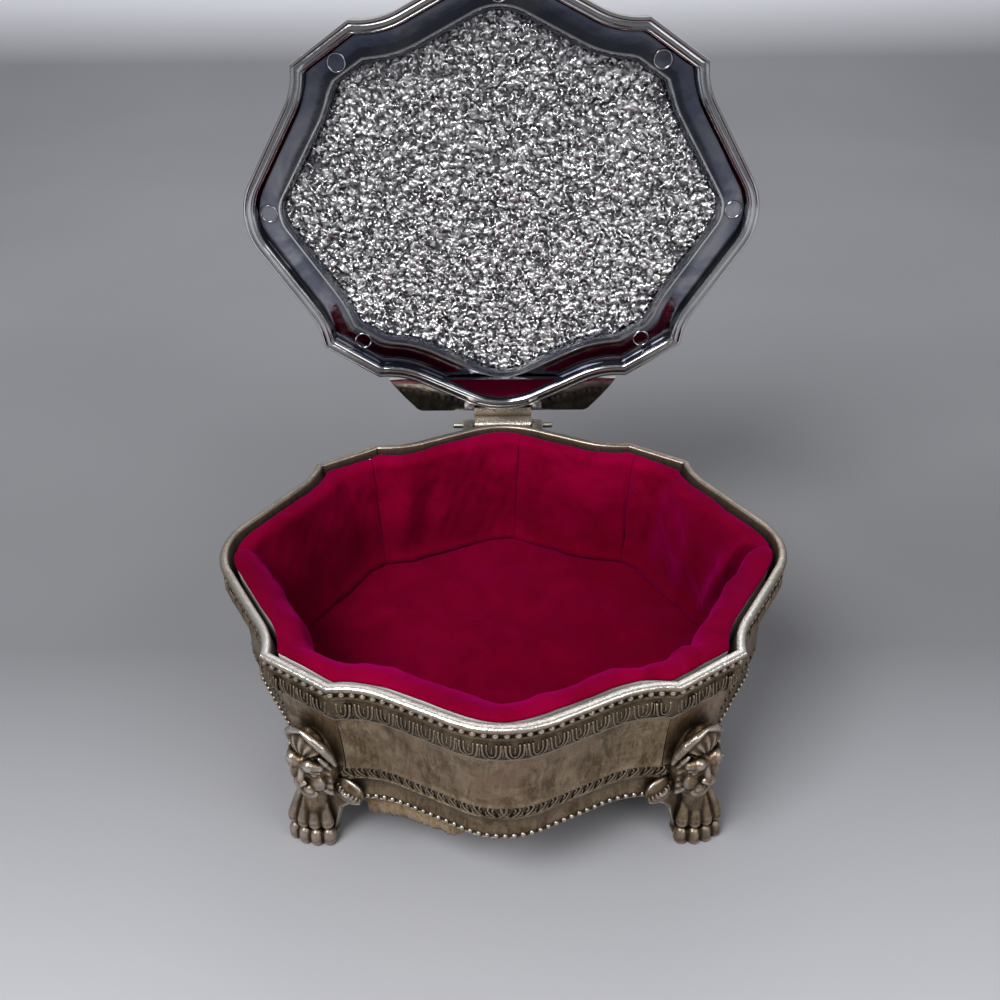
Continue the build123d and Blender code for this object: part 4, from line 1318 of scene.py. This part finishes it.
def velvet_floor():
    """The padded floor: a crowned pad, tucked down all round, with soft hollows."""
    shares = ring_shares(90, 24)
    n = len(shares)
    rows = []
    # rounded edge: distance in, height above the foot, and how freely a place moves
    edge = [(11.6, 0.0, 0.0), (11.3, 0.5, 0.0), (11.0, 1.6, 0.0), (11.3, 3.0, 0.1), (12.2, 3.9, 0.3)]
    for inset, rise, w in edge + [(13.6, 4.3, 0.6)]:
        rows.append((np.c_[ring(shares, inset)[:, :2], np.full(n, VELVET_FOOT + rise)], w))
    middle = ring(shares, 15.0)[:, :2]
    for k in range(40, 0, -1):
        rows.append((np.c_[middle * (k / 40), np.full(n, VELVET_FOOT + 4.4)], 1.0))
    points = np.concatenate([r[0] for r in rows])
    w = np.concatenate([np.full(n, r[1]) for r in rows])
    flat = points * (1, 1, 0)
    points[:, 2] += w * (ripple(flat, 46.0, 91, 2) * 0.75 + ripple(flat, 13.0, 92, 2) * 0.18 - 0.2)
    end = len(points)
    points = np.vstack([points, [0, 0, points[end - n :, 2].mean()], [0, 0, VELVET_FOOT]])
    faces = grid_faces(len(rows), n, wrap_columns=True, flip=True)
    faces += fan_faces(end, end - n, n, flip=True) + fan_faces(end + 1, 0, n)
    shell = Shell()
    shell.add(points, faces)
    return shell


# Settings, operators and panel


class CasketSizes(bpy.types.PropertyGroup):
    """Sizes that a user would change."""

    upper_bead: bpy.props.FloatProperty(
        name="Upper bead", description="Radius of a bead under the rim", default=0.86 * MM, unit="LENGTH"
    )
    upper_pitch: bpy.props.FloatProperty(
        name="Upper bead pitch",
        description="Distance between beads under the rim",
        default=2.45 * MM,
        unit="LENGTH",
    )
    lower_bead: bpy.props.FloatProperty(
        name="Lower bead", description="Radius of a bead on the skirt", default=0.72 * MM, unit="LENGTH"
    )
    lower_pitch: bpy.props.FloatProperty(
        name="Lower bead pitch",
        description="Distance between beads on the skirt",
        default=2.15 * MM,
        unit="LENGTH",
    )
    egg_pitch: bpy.props.FloatProperty(
        name="Egg pitch", description="Distance between eggs of the ovolo", default=5.2 * MM, unit="LENGTH"
    )
    leaf_pitch: bpy.props.FloatProperty(
        name="Leaf pitch",
        description="Distance between leaves of the low band",
        default=2.9 * MM,
        unit="LENGTH",
    )
    curl_gap: bpy.props.FloatProperty(
        name="Curl gap",
        description="Least distance between curls of the lid panel",
        default=1.65 * MM,
        unit="LENGTH",
    )
    carving_step: bpy.props.FloatProperty(
        name="Carving step",
        description="Fineness of the lion masks and paws",
        default=0.21 * MM,
        unit="LENGTH",
    )


class CasketColours(bpy.types.PropertyGroup):
    """Colours that a user would change."""

    backdrop: bpy.props.FloatVectorProperty(
        name="Backdrop",
        description="Colour of the floor and backdrop",
        subtype="COLOR",
        size=3,
        default=(0.52, 0.525, 0.56),
        min=0,
        max=1,
    )


def sizes():
    """The casket's sizes in this scene."""
    return bpy.context.scene.casket_sizes


class MakeWalls(bpy.types.Operator):
    """Four moulded side walls of the case"""

    bl_idname = "casket.walls"
    bl_label = "Moulded walls"

    def execute(self, context):
        silver = material("aged_silver")
        for i, side in enumerate(SIDES):
            shell = swept_wall(wall_of[side], 150, 40 + i)
            if side == "rear":
                add_ears(shell)
            ob = shell.object(f"{side}_wall", silver)
            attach(ob, "case")
            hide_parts(f"{side}_panel")
        return {"FINISHED"}


def add_ears(shell):
    """The two cast ears of the hinge behind the rear rim."""
    y, z = HINGE
    web = [(58.4, z - 6.4), (61.4, z - 6.4), (y - 1, z - 4), (y + 1.6, z - 1.4), (y + 2, z)]
    web += [(y + 1.2, z + 1.6), (y, z + 2), (60.3, z + 2)]
    near = BARREL_HALF + 0.3
    far = near + 3.2
    for low, high in ((-far, -near), (near, far)):
        bar(shell, web, low, high, 0.3, 0.4, 0.4)
        bar(shell, circle(y, z, BARREL_RADIUS, 20), low, high, 0.25, 0.2, 0.5)


class MakeCorners(bpy.types.Operator):
    """Four corner castings with lion masks, legs and paws"""

    bl_idname = "casket.corners"
    bl_label = "Corner castings"

    def execute(self, context):
        silver = material("aged_silver")
        step = sizes().carving_step / MM
        points, quads, raised = carve_leg(step)
        for i, name in enumerate(CORNERS):
            origin, along, out, mirrored = corner_place(name)
            plan = origin + points[:, :1] * along + points[:, 1:2] * out
            place = np.c_[plan, points[:, 2]]
            shell = swept_wall(wall_of[name], 30, 60 + i)
            # painted shade: the right side of the case is painted darker, with less of its wear showing
            right_side_shade = 0.5 if "right" in name else 0.0
            shell.add(
                place,
                (quads if mirrored else quads[:, ::-1]).tolist(),
                tarnish=np.clip(0.3 + right_side_shade - 7.0 * raised, 0, 1.3),
                wear=np.clip(3.4 * raised - 0.16 - right_side_shade / 3, 0, 0.5),
            )
            ob = outward_faces(shell.object(f"{name}_corner", silver, 70))
            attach(ob, "case")
            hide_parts(f"{name}_leg")
        return {"FINISHED"}


class MakeBeads(bpy.types.Operator):
    """Two rows of beads round the case"""

    bl_idname = "casket.beads"
    bl_label = "Bead rows"

    def execute(self, context):
        silver = material("aged_silver")
        s = sizes()
        for name, inset, z, radius, pitch, seed in (
            ("upper_beads", 1.0, 61.95, s.upper_bead / MM, s.upper_pitch / MM, 3),
            ("lower_beads", lean_in(22.4), 22.7, s.lower_bead / MM, s.lower_pitch / MM, 4),
        ):
            unit = bead_unit(name + "_unit", radius)
            ob = run_of(name, [case_ring(inset, z)], unit, pitch, silver, 0.05, seed, True)
            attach(ob, "case")
        return {"FINISHED"}


class MakeEggs(bpy.types.Operator):
    """Egg and dart on the ovolo"""

    bl_idname = "casket.egg_and_dart"
    bl_label = "Egg and dart"

    def execute(self, context):
        pitch = sizes().egg_pitch / MM
        unit = egg_unit("egg_unit", pitch)
        run = [case_ring(0.0, OVOLO_FOOT)]
        ob = run_of("egg_and_dart", run, unit, pitch, material("aged_silver"), 0.0, 5, True)
        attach(ob, "case")
        return {"FINISHED"}


class MakeLeaves(bpy.types.Operator):
    """Band of raked leaves low on the walls, mirrored about the middle of each wall"""

    bl_idname = "casket.leaves"
    bl_label = "Leaf band"

    def execute(self, context):
        silver = material("aged_silver")
        pitch = sizes().leaf_pitch / MM
        inset = lean_in(32.3) - 0.05
        for name, toward_end in (("leaves_clockwise", True), ("leaves_anticlockwise", False)):
            unit = leaf_unit(name + "_unit", not toward_end)
            ob = run_of(name, half_runs(inset, LEAF_FOOT + 0.25, toward_end), unit, pitch, silver, 0.08, 6)
            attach(ob, "case")
        return {"FINISHED"}


class MakeLid(bpy.types.Operator):
    """The cast lid with its flange, hinge barrel and stop heel, standing open"""

    bl_idname = "casket.lid"
    bl_label = "Lid casting"

    def execute(self, context):
        shell = lid_shell()
        n = len(LID_SHARES)
        cast = len(shell.faces)
        slope = [(36, 52.6), (34.6, 55.0), (31.5, 59.0), (27.6, 63.4), (26.4, 63.9)]
        flange = [(-36, 52.6)] + slope + [(-x, y) for x, y in slope[:0:-1]]
        bar(shell, flange, 66.4, 68.15, 0.3, 0.05, 0.2, upright=True)
        hinge_start = len(shell.faces)
        tongue = [(62, 64.7), (62, 68.1), (66.9, 68.1), (68.3, 67.2), (68.9, 66.2), (68.9, 62), (64.9, 62)]
        bar(shell, tongue + [(64.9, 64.7)], -BARREL_HALF, BARREL_HALF, 0.25, 0.2, 0.4)
        bar(shell, circle(*HINGE, BARREL_RADIUS, 20), -BARREL_HALF, BARREL_HALF, 0.25, 0.2, 0.5)
        heel = [(66.9, 59.6), (71.4, 59.6), (71.4, 61.9), (66.9, 61.9)]
        bar(shell, heel, -5, 5, 0.25, 0.3, 0.2)
        shell.moved(opened)
        ob = shell.object("lid_casting", material("lid_chrome"), 35)
        # the outside and the hinge are aged like the case, and only the inside is polished
        ob.data.materials.append(material("aged_silver"))
        aged = np.zeros(len(ob.data.polygons), np.int32)
        aged[: LID_OUTER_RINGS * n] = 1
        aged[cast - 2 * n : cast - n] = 1
        aged[hinge_start:] = 1
        ob.data.polygons.foreach_set("material_index", aged)
        outward_faces(ob)
        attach(ob, "lid")
        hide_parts("lid")
        return {"FINISHED"}


# Middles of the eight ejector marks, in plan of the shut lid
EJECTOR_PLACES = (
    (0, 56.4),
    (0, -56.4),
    (67.0, 0),
    (-67.0, 0),
    (43.3, 40.1),
    (-43.3, 40.1),
    (43.3, -40.1),
    (-43.3, -40.1),
)


class MakePanel(bpy.types.Operator):
    """Worm-cast panel inside the lid, and the ejector marks round it"""

    bl_idname = "casket.panel"
    bl_label = "Lid panel"

    def execute(self, context):
        silver = material("panel_silver")
        shares = ring_shares(60, 10)
        n = len(shares)
        rings = 36
        drop = SHEET + 0.15
        rows = []
        edge = ring(shares, PANEL_BED_IN + 0.1)[:, :2]
        for k in range(rings, 0, -1):
            xy = edge * (k / rings)
            rows.append(np.c_[xy, crown_z(xy) - drop])
        points = np.concatenate(rows + [np.array([[0, 0, CROWN_TOP - drop]])])
        faces = grid_faces(rings, n, wrap_columns=True, flip=True)
        faces += fan_faces(rings * n, (rings - 1) * n, n)
        shell = Shell()
        shell.add(points, faces, tarnish=0.9)
        bed = shell.object("panel_bed", silver, 180)
        group = bpy.data.collections.new("curls")
        context.scene.collection.children.link(group)
        units = curl_units()
        for u in units:
            context.scene.collection.objects.unlink(u)
            group.objects.link(u)
        mod = bed.modifiers.new("Curls", "NODES")
        mod.node_group = curl_tree()
        gap = sizes().curl_gap
        set_inputs(mod, Curls=group, Gap=gap, Smallest=0.7, Largest=1.25, Seed=12, Material=silver)
        ob = baked(bed, "lid_panel")
        for u in units:
            bpy.data.objects.remove(u)
        bpy.data.objects.remove(bed)
        bpy.data.collections.remove(group)
        co = np.empty(len(ob.data.vertices) * 3, np.float32)
        ob.data.vertices.foreach_get("co", co)
        moved = opened(co.reshape(-1, 3).astype(float) / MM) * MM
        ob.data.vertices.foreach_set("co", moved.astype(np.float32).ravel())
        ob.data.update()
        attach(ob, "lid")
        marks = Shell()
        for x, y in EJECTOR_PLACES:
            add_mark(marks, x, y, 69.02)
        marks.moved(opened)
        ob = outward_faces(marks.object("ejector_marks", material("lid_chrome"), 180))
        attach(ob, "lid")
        return {"FINISHED"}


def add_mark(shell, x, y, z, radius=2.35, count=28):
    """A round ejector mark: a thin raised ring about a shallow disc."""
    section = [(-0.28, 0.1), (-0.2, -0.12), (0, -0.2), (0.2, -0.12), (0.28, 0.1)]
    rows = []
    for k in range(count):
        a = 2 * math.pi * k / count
        c, s = math.cos(a), math.sin(a)
        rows += [(x + (radius + r) * c, y + (radius + r) * s, z + h) for r, h in section]
    faces = grid_faces(count, len(section), wrap_rows=True, wrap_columns=True)
    shell.add(rows, faces, tarnish=0.0, wear=0.7)
    disc = [(x, y, z - 0.06)] + [(a, b, z - 0.03) for a, b in circle(x, y, radius - 0.25, count)]
    shell.add(disc, fan_faces(0, 1, count), tarnish=0.35)


class MakeLining(bpy.types.Operator):
    """Padded velvet walls and floor of the lining, and the card behind them"""

    bl_idname = "casket.lining"
    bl_label = "Velvet lining"

    def execute(self, context):
        velvet = material("crimson_velvet")
        for name in VELVET_FOLDS:
            ob = outward_faces(velvet_band(name).object(name + "_pad", velvet, 180))
            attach(ob, "case")
            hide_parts(name)
        ob = outward_faces(velvet_floor().object("floor_velvet_pad", velvet, 180))
        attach(ob, "case")
        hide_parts("floor_velvet")
        for name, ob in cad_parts.items():
            if "card" in name:
                dress(ob, "white_card")
        dress(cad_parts["bottom_board"], "pressed_board")
        dress(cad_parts["hinge_pin"], "drawn_wire")
        return {"FINISHED"}


def dress(ob, finish):
    """Gives a solid of the frame its finish."""
    ob.data.materials.clear()
    ob.data.materials.append(material(finish))


# Section of the felt's edge, from above to below: how much deeper in, and height
FELT_EDGE = ((1.2, 21.2), (0.1, 21.2), (-0.25, 20.4), (-0.15, 19.4), (0.2, 18.6), (1.4, 18.5), (4.0, 18.9))


class MakePad(bpy.types.Operator):
    """Torn ochre felt under the board and the skirt"""

    bl_idname = "casket.felt"
    bl_label = "Felt pad"

    def execute(self, context):
        shares = ring_shares(220, 20)
        n = len(shares)
        # the felt stands back from the corners and the front right, and hangs at the front left
        corner = np.array([1.0 if walls[i].name in CORNERS else 0.0 for i, _ in shares])
        near = np.array([min(u, 1 - u) * walls[i].length for i, u in shares])
        back = np.where(corner > 0, 4.0, 4.0 * np.clip(1 - near / 4.0, 0, 1) ** 2)
        plan = ring(shares, 5.4)[:, :2]
        flat = np.c_[plan, np.zeros(n)]
        torn = np.abs(ripple(flat, 7.0, 501, 4)) + ripple(flat, 1.6, 502, 2) * 0.35
        front = np.clip((-plan[:, 1] - 30) / 10, 0, 1)
        droop = front * np.clip((-8 - plan[:, 0]) / 5, 0, 1)
        back = back + 5.0 * front * np.clip((plan[:, 0] + 12) / 5, 0, 1) * (corner == 0)
        hang = droop * (4.2 - 0.09 * (plan[:, 0] + 38)) + droop * torn * 0.8
        rows = []
        for k, (deeper, z) in enumerate(FELT_EDGE):
            low = hang * (1 if z < 21 else 0) * (0.35 if z > 20 else (0.7 if z > 19 else 1.0))
            shag = ripple(np.c_[plan, np.full(n, z * 3)], 1.3, 520 + k, 2) * 0.22
            p = ring(shares, 5.3 + deeper + back + torn * (0.7 if k else 0) + shag)[:, :2]
            rows.append(np.c_[p, np.full(n, z) - low + shag * 0.6])
        inner = ring(shares, 12.0)[:, :2]
        for s in (1.0, 0.66, 0.33):
            p = inner * s
            rows.append(np.c_[p, 18.4 + ripple(np.c_[p, np.zeros(n)], 5.0, 530, 2) * 0.15])
        points = np.concatenate(rows + [np.array([[0, 0, 18.4], [0, 0, 21.2]])])
        end = len(rows) * n
        faces = grid_faces(len(rows), n, wrap_columns=True)
        faces += fan_faces(end, end - n, n) + fan_faces(end + 1, 0, n, flip=True)
        shell = Shell()
        shell.add(points, faces)
        ob = outward_faces(shell.object("felt_pad", material("ochre_felt"), 180))
        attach(ob, "case")
        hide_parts("bottom_pad")
        return {"FINISHED"}


# Camera of the photograph: yaw, dip and roll in radians, lens, and place in metres
CAMERA_TURN = (-0.009, 0.608, -0.012)
CAMERA_LENS = 34.394
CAMERA_PLACE = (0.001206, -0.200499, 0.217191)


class MakeStage(bpy.types.Operator):
    """Pale sweep, soft lights and the camera of the photograph"""

    bl_idname = "casket.stage"
    bl_label = "Stage"

    def execute(self, context):
        scene = context.scene
        yaw, dip, roll = CAMERA_TURN
        ahead = Vector((math.sin(yaw) * math.cos(dip), math.cos(yaw) * math.cos(dip), -math.sin(dip)))
        level = Vector((math.cos(yaw), -math.sin(yaw), 0))
        over = level.cross(ahead)
        right = math.cos(roll) * level + math.sin(roll) * over
        up = -math.sin(roll) * level + math.cos(roll) * over
        cam = bpy.data.cameras.new("camera")
        ob = bpy.data.objects.new("camera", cam)
        scene.collection.objects.link(ob)
        cam.sensor_width = 36
        cam.lens = CAMERA_LENS
        cam.shift_y = 0.0039
        cam.clip_start = 0.01
        rows = [(right[i], up[i], -ahead[i], CAMERA_PLACE[i]) for i in range(3)]
        ob.matrix_world = Matrix(rows + [(0, 0, 0, 1)])
        scene.camera = ob
        scene.view_settings.view_transform = "Standard"
        sweep = Shell()
        rows = [(-1500, 0), (-600, 0), (300, 0), (700, 0)]
        turns = np.linspace(0.15, math.pi / 2, 10)
        rows += [(700 + 500 * math.sin(a), 500 - 500 * math.cos(a)) for a in turns]
        rows += [(1200, 2200)]
        points = [(x, y, z) for y, z in rows for x in (-2500, 2500)]
        sweep.add(points, grid_faces(len(rows), 2, flip=True))
        floor = sweep.object("sweep", stage_paper(), 180)
        world = bpy.data.worlds.new("room")
        scene.world = world
        world.use_nodes = True
        background = world.node_tree.nodes["Background"]
        background.inputs["Color"].default_value = (0.82, 0.83, 0.86, 1)
        background.inputs["Strength"].default_value = 0.36
        for name, place, energy, size in (
            ("key", (-0.45, -0.5, 0.95), 14.0, 0.5),
            ("fill", (0.7, -0.6, 0.7), 4.0, 0.6),
            ("back", (0.1, 0.9, 1.0), 3.0, 0.8),
        ):
            lamp = bpy.data.lights.new(name, "AREA")
            lamp.energy = energy
            lamp.size = size
            ob = bpy.data.objects.new(name, lamp)
            ob.location = place
            toward = Vector((0, 0, 0.05)) - ob.location
            ob.rotation_euler = toward.to_track_quat("-Z", "Y").to_euler()
            scene.collection.objects.link(ob)
        return {"FINISHED"}


def stage_paper():
    """Pale paper with painted shade, a little darker behind the casket than in front of it, and painted light
    that makes it paler up the sweep.
    """
    m = Finish("stage_paper")
    grain = m.noise(5, 2, 0.4)
    pale = tuple(bpy.context.scene.casket_colours.backdrop)
    colour = pale
    # painted shade behind the casket, a little lifted further back, and painted light up the sweep
    for axis, low, high, share in (("Y", -0.17, 0.03, 0.28), ("Y", 0.1, 0.3, 0.4), ("Z", 0.03, 0.1, 1.75)):
        colour = m.mix(m.ramp(m.along(axis), low, high), colour, tuple(v * share for v in pale))
    colour = m.mix(m.ramp(grain, 0.35, 0.65, 0.0, 0.06), colour, pale)
    return m.finish(colour, 0.75)


class CasketPanel(bpy.types.Panel):
    """Sizes, colours and the pieces to make, in the sidebar"""

    bl_idname = "VIEW3D_PT_casket"
    bl_label = "Jewellery casket"
    bl_space_type = "VIEW_3D"
    bl_region_type = "UI"
    bl_category = "Casket"

    def draw(self, context):
        layout = self.layout
        for group in (context.scene.casket_sizes, context.scene.casket_colours):
            for key in group.bl_rna.properties.keys():
                if key not in ("rna_type", "name"):
                    layout.prop(group, key)
        for step in steps:
            layout.operator(step.bl_idname)


steps = (
    MakeStage,
    MakeWalls,
    MakeCorners,
    MakeBeads,
    MakeEggs,
    MakeLeaves,
    MakeLid,
    MakePanel,
    MakeLining,
    MakePad,
)
classes = (CasketSizes, CasketColours) + steps + (CasketPanel,)


def register():
    for c in classes:
        bpy.utils.register_class(c)
    bpy.types.Scene.casket_sizes = bpy.props.PointerProperty(type=CasketSizes)
    bpy.types.Scene.casket_colours = bpy.props.PointerProperty(type=CasketColours)


def unregister():
    del bpy.types.Scene.casket_colours
    del bpy.types.Scene.casket_sizes
    for c in reversed(classes):
        bpy.utils.unregister_class(c)


def main():
    """Makes every piece in order."""
    register()
    for step in steps:
        group, name = step.bl_idname.split(".")
        getattr(getattr(bpy.ops, group), name)()
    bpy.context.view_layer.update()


if __name__ == "__main__":
    main()
